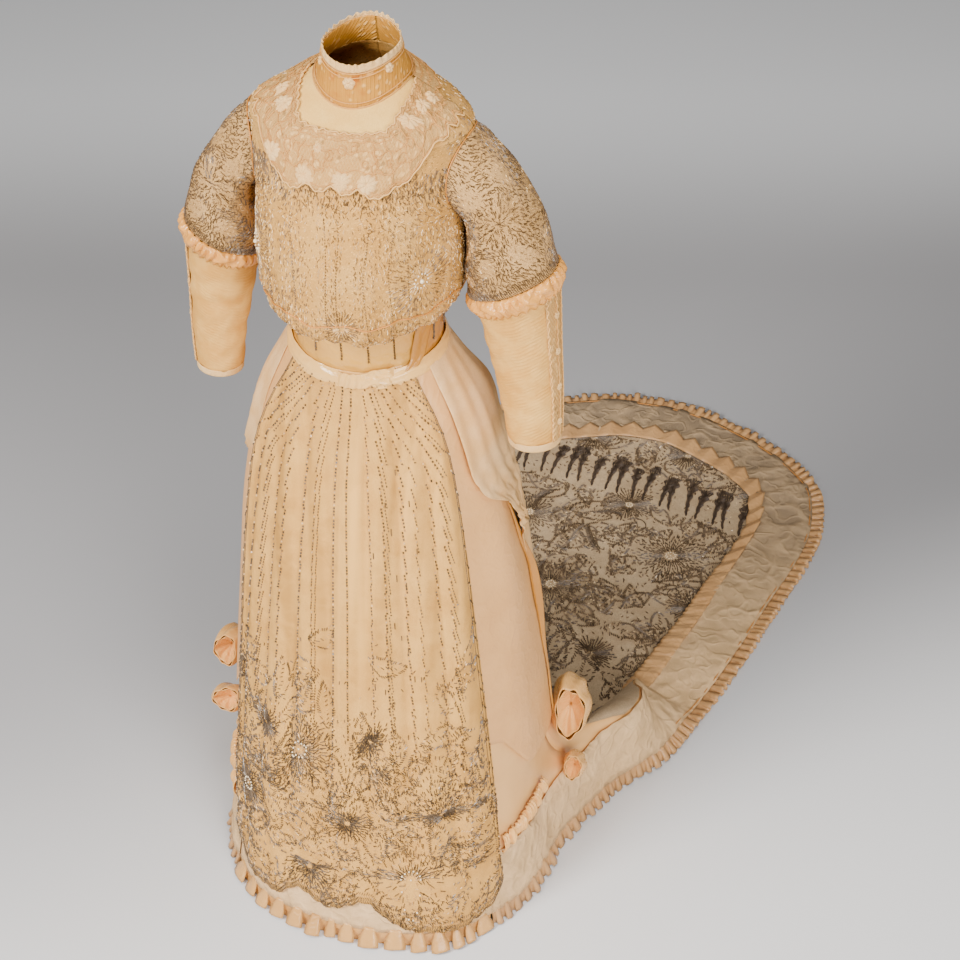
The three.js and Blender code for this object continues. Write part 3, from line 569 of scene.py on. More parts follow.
class Finish:
    """A material whose constants stand on its Principled shader; what varies is linked to it."""

    def __init__(self, name, **constants):
        self.material = bpy.data.materials.new(name)
        self.material.use_nodes = True
        self.tree = self.material.node_tree
        self.shader = self.tree.nodes["Principled BSDF"]
        for key, value in constants.items():
            self.shader.inputs[key.replace("_", " ")].default_value = value

    def node(self, kind, settings=None, values=None, output=0):
        """A node of a type, its settings first and then its sockets' values or links."""
        made = self.tree.nodes.new(kind)
        for key, value in (settings or {}).items():
            setattr(made, key, value)
        for key, value in (values or {}).items():
            if isinstance(value, Signal):
                self.tree.links.new(value.socket, made.inputs[key])
            else:
                made.inputs[key].default_value = value
        return Signal(self, made.outputs[output])

    def cloth_map(self):
        """The cloth's own widths and lengths in metres, as a vector."""
        return self.node("ShaderNodeUVMap", {"uv_map": "cloth"})

    def place(self):
        return self.node("ShaderNodeTexCoord", output="Object")

    def scaled(self, vector, scale):
        return self.node("ShaderNodeMapping", None, {"Vector": vector, "Scale": scale})

    def part(self, vector, k):
        """One of a vector's three numbers."""
        return self.node("ShaderNodeSeparateXYZ", None, {0: vector}, k)

    def noise(self, vector, scale, detail=2.0, roughness=0.5):
        return self.node("ShaderNodeTexNoise", None, {
            "Vector": vector, "Scale": scale, "Detail": detail, "Roughness": roughness})

    def cells(self, vector, scale, feature="F1"):
        """The distance to the nearest of many scattered points, or to the edge between two."""
        return self.node("ShaderNodeTexVoronoi", {"feature": feature}, {"Vector": vector, "Scale": scale})

    def mix(self, share, a, b):
        """Two colours mixed by a share."""
        a, b = (value if isinstance(value, Signal) or len(value) == 4 else (*value, 1) for value in (a, b))
        return self.node("ShaderNodeMix", {"data_type": "RGBA"}, {0: share, 6: a, 7: b}, 2)

    def wrinkles(self, scale, width=0.1):
        """Thin crossing ridges: 1 along the lines where a noise passes its middle value."""
        return 1 - (self.noise(self.place(), scale, 1.0) - 0.5).size().between(0, width)

    def link(self, socket, value):
        self.tree.links.new(value.socket, self.shader.inputs[socket])

    def bump(self, height, distance):
        self.link("Normal", self.node("ShaderNodeBump", None, {"Height": height, "Distance": distance}))


def shade(colour, factor):
    """A colour made darker or lighter by a factor."""
    return tuple(min(1.0, max(0.0, part * factor)) for part in colour[:3])


def silk(name, colour, roughness, warm=None, crush=0.0, sides=0.0):
    """Satin: threads as fine streaks along the cloth, soft tonal patches, slubs and small creases."""
    made = Finish(name, Roughness=roughness, Specular_IOR_Level=0.42)
    cloth, place = made.cloth_map(), made.place()
    threads = made.noise(made.scaled(cloth, (900, 60, 1)), 1.0, 3.0)
    weft = made.noise(made.scaled(cloth, (60, 1100, 1)), 1.0, 2.0)
    patches = made.noise(place, 14, 3.0)
    deep = warm or (colour[0] * 0.86, colour[1] * 0.74, colour[2] * 0.62)
    dull = mix(array(colour[:3]), array(deep), 0.35)
    tone = made.mix(patches.between(0.34, 0.72), shade(colour, 1.05), dull)
    tone = made.mix(threads * 0.22, tone, (*deep, 1))
    # Painted shade: the satin darkens in patches towards the sides, where the band turns away from the light.
    if sides:
        out = made.part(place, 0).size().between(0.07, 0.11)
        tone = made.mix(out * patches.between(0.25, 0.5) * sides, tone, (*deep, 1))
    made.link("Base Color", tone)
    made.link("Roughness", roughness + (threads - 0.5) * 0.22 + (patches - 0.5) * 0.1)
    fine = made.noise(place, 130, 2.0)
    height = threads * 0.3 + weft * 0.25 + fine * 0.9
    if crush:
        height = height + (made.wrinkles(30) + made.wrinkles(55) * 0.5 + patches * 2) * crush
    made.bump(height, 0.0003)
    return made.material


def net(name, colour, ground, mesh=760, grain=0.5, seed_beads_and_glints=0.0, crush=0.0, far=0.0, layers_and_fold_shade=0.0):
    """Silk net over satin: a mesh of small holes, each darker, over a ground with soft cloudy tones, and
    where seed beads are asked for, a sowing of the smallest beads as dark specks among light specks
    that are painted glints."""
    made = Finish(name, Roughness=0.75, Specular_IOR_Level=0.15)
    cloth, place = made.cloth_map(), made.place()
    holes = made.cells(cloth, mesh, "DISTANCE_TO_EDGE")
    threads = 1 - holes.between(0.04, 0.22)
    clouds = made.noise(place, 22, 4.0, 0.6)
    grains = made.noise(place, 420, 2.0)
    tone = made.mix(clouds.between(0.35, 0.68), ground, colour)
    tone = made.mix(grains.between(0.42, 0.7) * grain, tone, shade(ground, 0.72))
    tone = made.mix(threads * 0.35, tone, shade(colour, 1.12))
    if seed_beads_and_glints:
        # Dark specks of seed beads, and light specks that are painted glints on them.
        for scale, bead_speck_and_glint in (((230, 120, 1), shade(ground, 0.5)), ((170, 260, 1), shade(colour, 1.3))):
            cells = made.cells(made.scaled(cloth, scale), 1.0)
            tone = made.mix((1 - cells.between(0.16, 0.26)) * seed_beads_and_glints, tone, bead_speck_and_glint)
    height = threads + clouds * 2.0
    # Painted shade and highlight along the folds: darker and lighter streaks, strongest near the top, partly
    # the net lying doubled in its gathers; and the cloth a little darker on one side of a slanting line.
    if layers_and_fold_shade:
        across, down = (made.part(cloth, k) for k in range(2))
        fading = down.between(0.75, 0.1) * 0.7 + 0.3
        folds = made.noise(made.scaled(cloth, (21, 0.8, 1)), 1.0, 2.0)
        second = (across * 1.15 + down * 1.3 + clouds * 0.03).between(0.238, 0.246)
        tone = made.mix(folds.between(0.52, 0.66) * fading * layers_and_fold_shade, tone, shade(ground, 0.78))
        tone = made.mix(folds.between(0.46, 0.34) * fading * layers_and_fold_shade, tone, shade(colour, 1.22))
        tone = made.mix((1 - second) * 0.2, tone, shade(ground, 0.88))
    # Painted shade: the cloth darkens towards the back, where the light falls off.
    if far:
        tone = made.mix(made.part(place, 1).between(0.35, 1.1) * far, tone, (0.22, 0.16, 0.105))
    # Painted highlight: the crushed ridges are lighter, as well as raised by the bump.
    if crush:
        lines = made.wrinkles(14, 0.12) + made.wrinkles(31, 0.1) * 0.6 + made.noise(place, 30, 1.0) * 2
        tone = made.mix(lines.between(0.6, 2.4) * 0.25, tone, shade(colour, 1.25))
        height = height + lines * crush
    made.link("Base Color", tone)
    made.bump(height, 0.0002)
    return made.material


def lace_work(name, colour, thread, ground):
    """Lace: a dotted net ground, crossing cords and small worked leaves, all by the cloth's own map."""
    pitch = 0.009
    made = Finish(name, Roughness=0.8, Specular_IOR_Level=0.15)
    cloth, place = made.cloth_map(), made.place()
    parts = [made.part(cloth, k) for k in range(2)]
    across, down = (part * (2 * pi / pitch) for part in parts)
    cords = (across + down * 0.5).wave() * (across - down * 0.5).wave()
    worked = cords.size().between(0.35, 0.75)
    leaves = made.cells(cloth, 1 / pitch)
    leaf = 1 - leaves.between(0.25, 0.42)
    mesh = made.cells(cloth, 820, "DISTANCE_TO_EDGE")
    threads = 1 - mesh.between(0.04, 0.2)
    age = made.noise(place, 30, 3.0).between(0.4, 0.72)
    holes = 1 - made.cells(cloth, 0.62 / pitch).between(0.16, 0.26)
    tone = made.mix(threads * 0.5, ground, colour)
    tone = made.mix(worked * 0.5, tone, thread)
    tone = made.mix(leaf * 0.8, tone, shade(colour, 1.14))
    tone = made.mix(holes * 0.7, tone, shade(ground, 0.55))
    tone = made.mix(age * 0.3, tone, thread)
    made.link("Base Color", tone)
    made.bump(leaf * 1.2 + worked * 0.8 + threads * 0.3, 0.0005)
    return made.material


def glass(name, light, dark, roughness, metal, coat):
    """Beads: each its own tone between a light and a dark one, by the attribute it carries."""
    made = Finish(name, Roughness=roughness, Metallic=metal, Coat_Weight=coat, Coat_Roughness=0.12)
    tone = made.node("ShaderNodeAttribute", {"attribute_name": "shade"}, output="Fac")
    made.link("Base Color", made.mix(tone, dark, light))
    return made.material


def pearly(name, colour):
    """Pearls: a clear coat over a colour with soft clouds in it."""
    made = Finish(name, Roughness=0.22, Coat_Weight=0.7, Coat_Roughness=0.06)
    place = made.place()
    made.link("Base Color", made.mix(made.noise(place, 300).between(0.35, 0.65), colour, shade(colour, 1.15)))
    return made.material


def finish(look):
    """One of the gown's finishes, made the first time that a piece asks for it, under a name apart from
    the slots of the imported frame."""
    name = f"{look} finish"
    if name in bpy.data.materials:
        return bpy.data.materials[name]
    colours = bpy.context.scene.gown_colours
    satin, ribbon, pale = colours.satin, colours.ribbon, colours.net
    makers = {
        "satin": lambda: silk(name, satin, 0.42),
        # The waistband's satin, with painted shade towards its sides.
        "band_satin": lambda: silk(name, (0.66, 0.34, 0.06), 0.16, (0.46, 0.18, 0.02), 1.5, sides=0.85),
        "drape_satin": lambda: silk(name, (0.73, 0.375, 0.13), 0.42, (0.62, 0.29, 0.08), 1.2),
        "belt_satin": lambda: silk(name, (0.84, 0.49, 0.15), 0.14, (0.72, 0.33, 0.06), 1.0),
        "ruche_satin": lambda: silk(name, (0.75, 0.335, 0.065), 0.2, (0.46, 0.16, 0.02), 4.0),
        "bow_satin": lambda: silk(name, ribbon, 0.26, (0.66, 0.29, 0.06), 1.5),
        "end_satin": lambda: silk(name, (0.50, 0.22, 0.035), 0.2, (0.36, 0.14, 0.015), 1.0),
        "facing_satin": lambda: silk(name, (0.58, 0.22, 0.03), 0.36, (0.50, 0.19, 0.03)),
        "chiffon": lambda: net(name, (0.80, 0.50, 0.23), (0.70, 0.38, 0.13), grain=0.15),
        "yoke_net": lambda: net(name, (0.86, 0.52, 0.14), (0.82, 0.45, 0.10), grain=0.1),
        "sleeve_net": lambda: tucked(name, (0.72, 0.40, 0.105), (0.60, 0.285, 0.055)),
        "beaded_net": lambda: net(name, (0.65, 0.355, 0.098), (0.52, 0.245, 0.047), grain=0.35, seed_beads_and_glints=0.9),
        # The panel's net: painted shade and highlight along its folds, and painted highlights on its crushed
        # ridges.
        "panel_net": lambda: net(name, pale, (0.60, 0.29, 0.062), grain=0.25, crush=0.6, layers_and_fold_shade=1.0),
        "dark_net": lambda: net(name, (0.58, 0.34, 0.13), (0.42, 0.23, 0.075), grain=0.5, seed_beads_and_glints=0.8),
        "train_net": lambda: net(name, (0.56, 0.40, 0.235), (0.43, 0.29, 0.16), grain=0.5, seed_beads_and_glints=0.4),
        "frill_satin": lambda: silk(name, (0.66, 0.35, 0.11), 0.3, (0.42, 0.18, 0.04), 2.0),
        "train_ribbon": lambda: silk(name, (0.56, 0.31, 0.125), 0.3, (0.38, 0.175, 0.06), 2.0),
        "plume_beads": lambda: glass(name, (0.13, 0.08, 0.045), (0.04, 0.024, 0.014), 0.6, 0.0, 0.0),
        "train_beads": lambda: glass(name, (0.26, 0.165, 0.085), (0.06, 0.036, 0.018), 0.5, 0.0, 0.05),
        "panel_beads": lambda: glass(name, (0.28, 0.18, 0.095), (0.075, 0.046, 0.024), 0.35, 0.1, 0.15),
        "train_glints": lambda: glass(name, (0.95, 0.72, 0.42), (0.35, 0.2, 0.08), 0.25, 0.0, 0.3),
        # The border's net: painted highlights on its crushed ridges and painted shade towards the back.
        "border_net": lambda: net(name, (0.80, 0.52, 0.265), (0.62, 0.39, 0.18), grain=0.15, crush=13,
                                  far=0.85),
        "lace": lambda: lace_work(name, (0.72, 0.43, 0.155), (0.58, 0.26, 0.05), (0.50, 0.27, 0.085)),
        "collar_lace": lambda: stained(name, (0.49, 0.215, 0.024), (0.36, 0.08, 0.004)),
        "thread_white": lambda: net(name, (0.88, 0.58, 0.26), (0.80, 0.46, 0.16), mesh=1500, grain=0.1),
        "cord": lambda: silk(name, (0.72, 0.41, 0.13), 0.6),
        "orange_cord": lambda: silk(name, (0.64, 0.31, 0.075), 0.6),
        "clear_beads": lambda: glass(name, (0.88, 0.62, 0.30), (0.46, 0.23, 0.07), 0.3, 0.0, 0.12),
        "grey_beads": lambda: glass(name, (0.30, 0.17, 0.07), (0.08, 0.045, 0.02), 0.35, 0.05, 0.08),
        "pearl": lambda: pearly(name, (0.84, 0.66, 0.42)),
    }
    return makers[look]()


def tucked(name, colour, ground):
    """Net laid in fine tucks across the sleeve, each a shallow step that shades the one below."""
    made = Finish(name, Roughness=0.75, Specular_IOR_Level=0.15)
    cloth, place = made.cloth_map(), made.place()
    down = made.part(cloth, 1)
    clouds = made.noise(place, 26, 4.0, 0.6)
    tucks = (down * (2 * pi / 0.0055) + clouds * 9.0).wave()
    fold = tucks.between(-0.6, 0.9) * made.noise(place, 60, 2.0).between(0.35, 0.6)
    tone = made.mix(clouds.between(0.32, 0.7), ground, colour)
    # Painted highlight: each tuck's fold is lighter than the step below it.
    tone = made.mix(fold * 0.15, tone, shade(colour, 1.12))
    specks = made.noise(made.scaled(cloth, (90, 500, 1)), 1.0).between(0.55, 0.8)
    tone = made.mix(specks * 0.5, tone, shade(ground, 0.86))
    made.link("Base Color", tone)
    made.bump(fold * 0.6 + clouds * 1.5, 0.0006)
    return made.material


def stained(name, colour, stain):
    """The collar's lace: corded lines up it, worked sprigs, and old orange-brown stains at its front."""
    made = Finish(name, Roughness=0.8, Specular_IOR_Level=0.15)
    cloth, place = made.cloth_map(), made.place()
    across, down = (made.part(cloth, k) for k in range(2))
    ribs = (across * (2 * pi / 0.0055)).wave().between(0.1, 0.9)
    sprigs = 1 - made.cells(cloth, 110).between(0.2, 0.42)
    blots = made.noise(place, 55, 3.0).between(0.47, 0.62)
    front = (across + 0.002).size().between(0.032, 0.006) * (down - 0.018).size().between(0.022, 0.008)
    tone = made.mix(ribs * 0.3, colour, shade(colour, 1.16))
    tone = made.mix(sprigs * 0.55, tone, (0.78, 0.44, 0.14))
    tone = made.mix(blots * (front * 0.85 + 0.12), tone, stain)
    made.link("Base Color", tone)
    made.bump(ribs * 0.7 + sprigs * 1.3, 0.0007)
    return made.material


# ---- beads and cords
def tube(name, lines, radius, look, sides=6, closed=False):
    """Cords: a circle carried along each line, a path with the directions out of the cloth along it. It
    turns in the frame of the path and its side, and closes to a point at each end of an open path."""
    points, faces, uvs, start = [], [], [], 0
    turn = arange(sides) * 2 * pi / sides
    for path, out in lines:
        n = len(path)
        along = unit(np.roll(path, -1, 0) - np.roll(path, 1, 0) if closed else np.gradient(path, axis=0))
        side = unit(np.cross(along, out))
        up = np.cross(side, along)
        girth = radius * (np.ones(n) if closed else np.minimum(1, np.minimum(arange(n), arange(n)[::-1])))
        ring = cos(turn)[:, None] * side[:, None] + sin(turn)[:, None] * up[:, None]
        points.append((path[:, None] + girth[:, None, None] * ring).reshape(-1, 3))
        i, j = np.meshgrid(arange(n if closed else n - 1), arange(sides), indexing="ij")
        near, far, beside = i * sides, (i + 1) % n * sides, (j + 1) % sides
        faces.append(stack([near + j, far + j, far + beside, near + beside], -1).reshape(-1, 4) + start)
        run = stepped(path)
        uvs.append(stack(np.broadcast_arrays(arange(sides) * radius, run[:, None]), -1).reshape(-1, 2))
        start += n * sides
    points, faces, uvs = (concatenate(part) for part in (points, faces, uvs))
    dress(mesh_object(name, points, faces, finish(look), uvs))


class Beads:
    """Beads for one piece: the middle, direction, outward direction, length, width and tone of each."""

    def __init__(self):
        self.rows = []

    def add(self, middle, along, out, length, width, tone):
        fill = [np.broadcast_to(value, len(middle))[:, None] for value in (length, width, tone)]
        self.rows.append(concatenate([middle, along, out, *fill], 1))

    def make(self, name, look, slot="beaded_net"):
        """One mesh of all the beads: each is a prism of three sides, with an edge up and closed ends."""
        rows = concatenate(self.rows)
        middle, along, out = rows[:, :3], unit(rows[:, 3:6]), rows[:, 6:9]
        length, width, tone = rows[:, 9:10], rows[:, 10:11], rows[:, 11]
        side = unit(np.cross(along, out))
        up = np.cross(side, along)
        middle = middle + up * width * 0.42
        corners = [
            middle + along * length * end + (side * a + up * b) * width * 0.55
            for end in (-0.5, 0.5) for a, b in ((0, 1), (-0.87, -0.5), (0.87, -0.5))
        ]
        points = stack(corners, 1)
        shape = [[0, 1, 2], [5, 4, 3]]
        for k, far in ((0, 1), (1, 2), (2, 0)):
            shape += [[far, k, k + 3], [far, k + 3, far + 3]]
        faces = (arange(len(rows))[:, None, None] * 6 + array(shape)).reshape(-1, 3)
        dress(mesh_object(name, points, faces, finish(look), shade=np.repeat(tone, 6), smooth=False))


def bead_kit():
    """A bag of clear beads and one of grey, and a bugle bead's length and a bead's width."""
    return Beads(), Beads(), sizes().bugle / MM, sizes().bead / MM


def pearls(name, middles, outs, radius, slot="beaded_net"):
    """Pearls: a ball of rings and points at each middle, set half into the cloth."""
    ring, spoke = np.meshgrid(linspace(0.12, pi - 0.12, 6), arange(8) * pi / 4, indexing="ij")
    ball = xyz(sin(ring) * cos(spoke), sin(ring) * sin(spoke), cos(ring)).reshape(-1, 3)
    points = middles[:, None] + ball * radius[:, None, None] + (outs * radius[:, None] * 0.7)[:, None]
    i, j = np.meshgrid(arange(5), arange(8), indexing="ij")
    near, beside = i * 8 + j, i * 8 + (j + 1) % 8
    shape = stack([near, near + 8, beside + 8, beside], -1).reshape(-1, 4)
    caps = [[0, 1, 2, 3], [0, 3, 4, 7], [4, 5, 6, 7], [43, 42, 41, 40], [47, 44, 43, 40], [47, 46, 45, 44]]
    faces = (arange(len(middles))[:, None, None] * 48 + concatenate([shape, caps])).reshape(-1, 4)
    dress(mesh_object(name, points, faces, finish("pearl")))


# ---- bead designs, in millimetres on the flat cloth: rows of x, y and heading
def places(x, y, heading=DOWN):
    """Rows of flat places from their sides, their distances down and their headings."""
    return stack(np.broadcast_arrays(x, y, heading), 1).astype(float)


def stitches(x, y, pitch):
    """Even places along a line of points, with the line's heading at each."""
    run = stepped(stack([x, y], 1))
    count = max(1, int(run[-1] / pitch))
    at = (arange(count) + 0.5) * run[-1] / count
    px, py = interp(at, run, x), interp(at, run, y)
    ahead, behind = np.minimum(at + 0.6, run[-1]), np.maximum(at - 0.6, 0)
    heading = np.arctan2(interp(ahead, run, y) - interp(behind, run, y),
                         interp(ahead, run, x) - interp(behind, run, x))
    return places(px, py, heading)


def petal_line(cx, cy, heading, near, far, wide):
    """Both edges of a pointed petal: a half sine of a given width on each side of its middle line."""
    t = steps(15)
    along = mix(near, far, t)
    bulge = wide * sin(pi * t**0.8)
    c, s = math.cos(heading), math.sin(heading)
    return [(cx + along * c - side * bulge * s, cy + along * s + side * bulge * c) for side in (-1, 1)]


def daisy(cx, cy, radius, petals, pitch, turn=0.0, veins=True):
    """A flower of pointed petals, each with beaded edges and a vein, in a ring of short rays."""
    rows = []
    for k in range(petals):
        heading = turn + 2 * pi * k / petals
        reach = radius * (1 + 0.12 * math.sin(2.3 * k + turn))
        for x, y in petal_line(cx, cy, heading, radius * 0.2, reach, radius * 0.19 * 8 / petals):
            rows.append(stitches(x, y, pitch))
        if veins:
            t = array([0.26, 0.8]) * reach
            rows.append(stitches(cx + t * math.cos(heading), cy + t * math.sin(heading), pitch * 1.3))
        t = array([0.62, 0.98]) * radius
        gap = heading + pi / petals
        rows.append(stitches(cx + t * math.cos(gap), cy + t * math.sin(gap), pitch * 1.2))
    return concatenate(rows)


def rosette(cx, cy, radius, petals, turn=0.0):
    """A flower of short rays in rings, each ring's distance swinging out at the petals, thin at its rim."""
    rows = []
    for share in (0.26, 0.36, 0.48, 0.62, 0.78, 0.94):
        count = int((38 if share > 0.6 else 26) * radius / 50) + 8
        ray = turn + arange(count) * 2 * pi / count + share
        reach = radius * share * (1 + 0.16 * cos(petals * (ray - turn)))
        rows.append(places(cx + reach * cos(ray), cy + reach * sin(ray), ray + 0.15 * sin(petals * ray)))
    return concatenate(rows)


def frond(x, y, heading, length, leaf, pitch, bend):
    """A curved stem with pairs of slanted dashes along it, which shorten to its tip."""
    t = linspace(0, 1, max(4, int(length / 3)))
    turn = heading + bend * t
    step = length / (len(t) - 1)
    px = x + concatenate([[0], np.cumsum(cos(turn[:-1]) * step)])
    py = y + concatenate([[0], np.cumsum(sin(turn[:-1]) * step)])
    stem = stitches(px, py, pitch)
    rows = [stem]
    at = linspace(0.05, 0.97, max(3, int(length / pitch / 1.1)))
    for side in (-1, 1):
        sx, sy = interp(at, t, px), interp(at, t, py)
        angle = interp(at, t, turn) + side * 0.75
        reach = leaf * (1 - 0.6 * at)
        for part in (0.45, 1.0) if leaf > 5 else (0.7,):
            rows.append(places(sx + cos(angle) * reach * part, sy + sin(angle) * reach * part, angle))
    return concatenate(rows)


def scroll(x, y, radius, turns, pitch, heading=0.0, hand=1):
    """A spiral that closes on its middle, as a curled tendril."""
    t = steps(40)
    angle = heading + hand * 2 * pi * turns * t
    reach = radius * (1 - 0.85 * t)
    return stitches(x + reach * cos(angle), y + reach * sin(angle), pitch)


def strewn(wide, top, end, across, down, seed):
    """Places over flat cloth, one to each cell of `across` by `down`, moved at random within its cell."""
    draw = np.random.default_rng(seed)
    cells = np.meshgrid(arange(-wide, wide, across), arange(top, end, down), indexing="ij")
    return [part.ravel() + draw.uniform(-0.5, 0.5, part.size) * cell
            for part, cell in zip(cells, (across, down))]


def headings(x, y, stars, lean, seed):
    """Directions for strewn places: down the cloth and leaning out with x, but along the rays of any star
    that a place is in reach of."""
    draw = np.random.default_rng(seed)
    heading = DOWN - lean * x + draw.normal(0, 0.34, len(x))
    for cx, cy, reach in stars:
        ray = np.arctan2(y - cy, x - cx) + draw.normal(0, 0.1, len(x))
        heading = where(hypot(x - cx, y - cy) < reach, ray, heading)
    return heading


def leaves(wide, top, end, step, blooms, fade, seed, sown=0.8):
    """Leaves in outline over flat cloth, one to each strewn place that no flower covers: both edges and the
    vein are rows of short dashes slanted across the line. `fade` gives the share kept at a distance down."""
    draw = np.random.default_rng(seed)
    rows = []
    for x, y in zip(*strewn(wide, top, end, step, step * 1.15, seed)):
        clear = all(math.hypot(x - cx, y - cy) > reach * 0.8 for cx, cy, reach, _ in blooms)
        heading, length = draw.uniform(0, 2 * pi), draw.uniform(1.6, 2.5) * step
        if not clear or draw.random() > fade(y):
            continue
        ahead = (x + length * math.cos(heading), y + length * math.sin(heading))
        bend = draw.uniform(-0.25, 0.25) * length
        t = steps(15)
        for hand in (-1, 0, 1):
            off = bend * sin(pi * t) + hand * 0.21 * length * sin(pi * t**0.8)
            line = stitches(mix(x, ahead[0], t) - off * math.sin(heading),
                            mix(y, ahead[1], t) + off * math.cos(heading), step * 0.108)
            line[:, 2] += 0.9 * (hand or 1)
            rows.append(line if hand else line[2:-2:2])
    x, y = strewn(wide, top, end, step * 0.22, step * 0.22, seed + 1)
    heading = DOWN + 1.1 * waves(x / 40, y / 40, seed + 2) + draw.normal(0, 0.3, len(x))
    kept = draw.random(len(x)) < sown * np.clip(fade(y), 0, 1) ** 2
    rows = concatenate([*rows, places(x, y, heading)[kept]])
    for cx, cy, reach, _ in blooms:
        rows = rows[hypot(rows[:, 0] - cx, rows[:, 1] - cy) > reach * 0.6]
    return rows


def embroider(beads, cloth, rows, length, width, tone, seed, middle=None):
    """Sets rows of flat places on a cloth as beads along their headings, true to size round a middle where
    one is given. A seed gives each its own tone, length and small turn. Where folds squeeze the cloth so
    that a millimetre of it ahead of a bead is less than SQUEEZED, the bead is left out."""
    draw = np.random.default_rng(seed)
    x, y, heading = rows.T
    heading = heading + draw.normal(0, 0.12, len(x))
    ahead = x + cos(heading), y + sin(heading)
    if middle:
        (i, j), (next_i, next_j) = cloth.near(middle, x, y), cloth.near(middle, *ahead)
        m, n = cloth.u.shape
        inside = (i > 0) & (j > 0) & (i < m - 1) & (j < n - 1)
    else:
        (i, j, inside), (next_i, next_j, _) = cloth.find(x, y), cloth.find(*ahead)
    spots, out = cloth.spots(i, j)
    along = cloth.sample(cloth.points, next_i, next_j) - spots
    inside &= np.linalg.norm(along, axis=1) > SQUEEZED
    size = length * draw.uniform(0.8, 1.15, len(x))
    tones = np.clip(tone + draw.normal(0, 0.2, len(x)), 0, 1)
    beads.add(spots[inside], along[inside], out[inside], size[inside], width, tones[inside])


# ---- placings on the skirt
def over_skirt(place):
    """A surface on the skirt, through a placing of its two parameters at a direction and a stage."""
    return lambda u, v: skirt(*place(u, v))


def panel_place(p, q):
    """The front panel: p runs between its edges, which spread to follow their table, and q runs from
    under the belt to a scalloped edge above the hem."""
    rough = p * GORE_EDGE
    above = through(PANEL_HEM["angle"], PANEL_HEM["above"], p * PANEL_HEM["angle"][-1]) - 5 * abs(sin(p * 40))
    stage = mix(under_belt(rough), 4 - above / BORDER, q)
    return p * through(PANEL["z"], PANEL["half"], skirt(rough, stage)[..., 2]), stage


def drape_place(sign):
    """A side drape: p runs from under the panel to its free back edge, q from the belt to its hem."""
    def place(p, q):
        rough = mix(DRAPE_FRONT, DRAPE_BACK_EDGE, p)
        edge = through(DRAPE_HEM["angle"], DRAPE_HEM["z"], rough) + (0 if sign > 0 else 80) * p
        stage = mix(under_belt(rough), stage_at(rough, edge), q)
        z = mix(waist_seam(rough), bends(rough)[0], stage)
        return sign * mix(DRAPE_FRONT, through(DRAPE_BACK["z"], DRAPE_BACK["angle"], z), p), stage
    return place


def hip_place(sign):
    """The gathered hip drape: q runs down it, and p across it between its two edges' directions."""
    def place(p, q):
        middle = full(p.shape, 95.0)
        stage = mix(under_belt(middle), 0.58, q)
        z = skirt(middle, stage)[..., 2]
        return sign * mix(through(HIP["z"], HIP["start"], z), through(HIP["z"], HIP["stop"], z), p), stage
    return place


def panel_folds(p, q):
    """The panel's folds: soft pleats from the belt that open out towards the hem."""
    depth = 10.0 * (0.15 + 0.85 * (1 - q) ** 1.1)
    pleats = abs(sin(p * 3.7 * pi + 0.5 * sin(q * 5) + 0.8)) ** 0.8 * depth
    gathers = sin(p * 46 + 2 * sin(p * 5)) * exp(-q * 7)
    top = ease(q / 0.07)
    uneven = 1.3 * waves(p * 2, q * 2.2, 31, 0.6, 1.8)
    return 2.4 + pleats * (0.15 + 0.85 * top) + (4.6 + gathers + uneven) * top


def drape_lift(side):
    """How far a side drape stands off: it billows towards its back edge, with low uneven swells."""
    def lift(p, q):
        stand = LAID + 0.8 + side["billow"] * ease((p - 0.36) / 0.3) * ease(q * 1.6)
        return stand + 1.6 * (1 + waves(p * 1.4, q * 1.5, 47, 0.5, 1.6)) * ease(q * 4)
    return lift


def rumple(points, stage, angle=180.0):
    """How far the lying cloth rises off the floor: low uneven wrinkles, none in front, at the bend or at
    the hem."""
    turn = abs((np.asarray(angle, float) + 180) % 360 - 180)
    share = ease((stage - 1.9) / 0.5) * ease((4.02 - stage) / 0.3) * ease((turn - 84) / 19)
    x, y = points[..., 0] / 300, points[..., 1] / 300
    return share * (2.2 * (1 + waves(x, y, 5, 0.5, 1.7)) + 2.0 * creases(x, y, 8, low=0.6, high=1.4))


def lying(at):
    """A surface whose lying part is rumpled: `at` gives its direction and stage."""
    def surface(u, v):
        angle, stage = at(u, v)
        points = skirt(angle, stage)
        points[..., 2] += rumple(points, stage, angle)
        return points
    return surface


def plain(u, v):
    """A direction and a stage as they are."""
    return u, v


def front_at(angle, level):
    """The bodice front: a column's angle shrinks to the armhole's edge, and above it the level stops at
    the neckline."""
    top = ARM_LEVEL + ARM_RISE
    below = torso(angle / 90 * arm_edge(np.minimum(level, top)), np.minimum(level, top))
    above = torso(angle, mix(top, neckline(angle), (level - top) / (NECK - top)))
    return where((level <= top)[..., None], below, above)


def back_at(sign):
    """Half the bodice back: its first column follows the side seam or the armhole, its last the middle."""
    def at(angle, level):
        return torso(sign * mix(180 - arm_edge(level), 180, (angle - 90) / 90), level)
    return at


def pouch(angle, level):
    """The bodice's gathers, strongest over the belt, where the front pouches."""
    share = exp(-((level - 1.3) / 1.5) ** 2)
    folds = sin(radians(angle) * 26 + 1.6 * waves(angle / 60, level / 3, 21, 0.5, 1.5))
    swells = 1.9 * folds + 2.2 * waves(angle / 50, level / 2.5, 22, 0.6, 2)
    return 1.2 + share * swells + 0.5 * waves(angle / 40, level, 23)


BODICE_LEVELS = concatenate([
    linspace(8, 5.995, 10)[:-1], 5 + 0.995 * cos(linspace(0, pi, 19)), linspace(4.005, 0, 34)[1:]
])


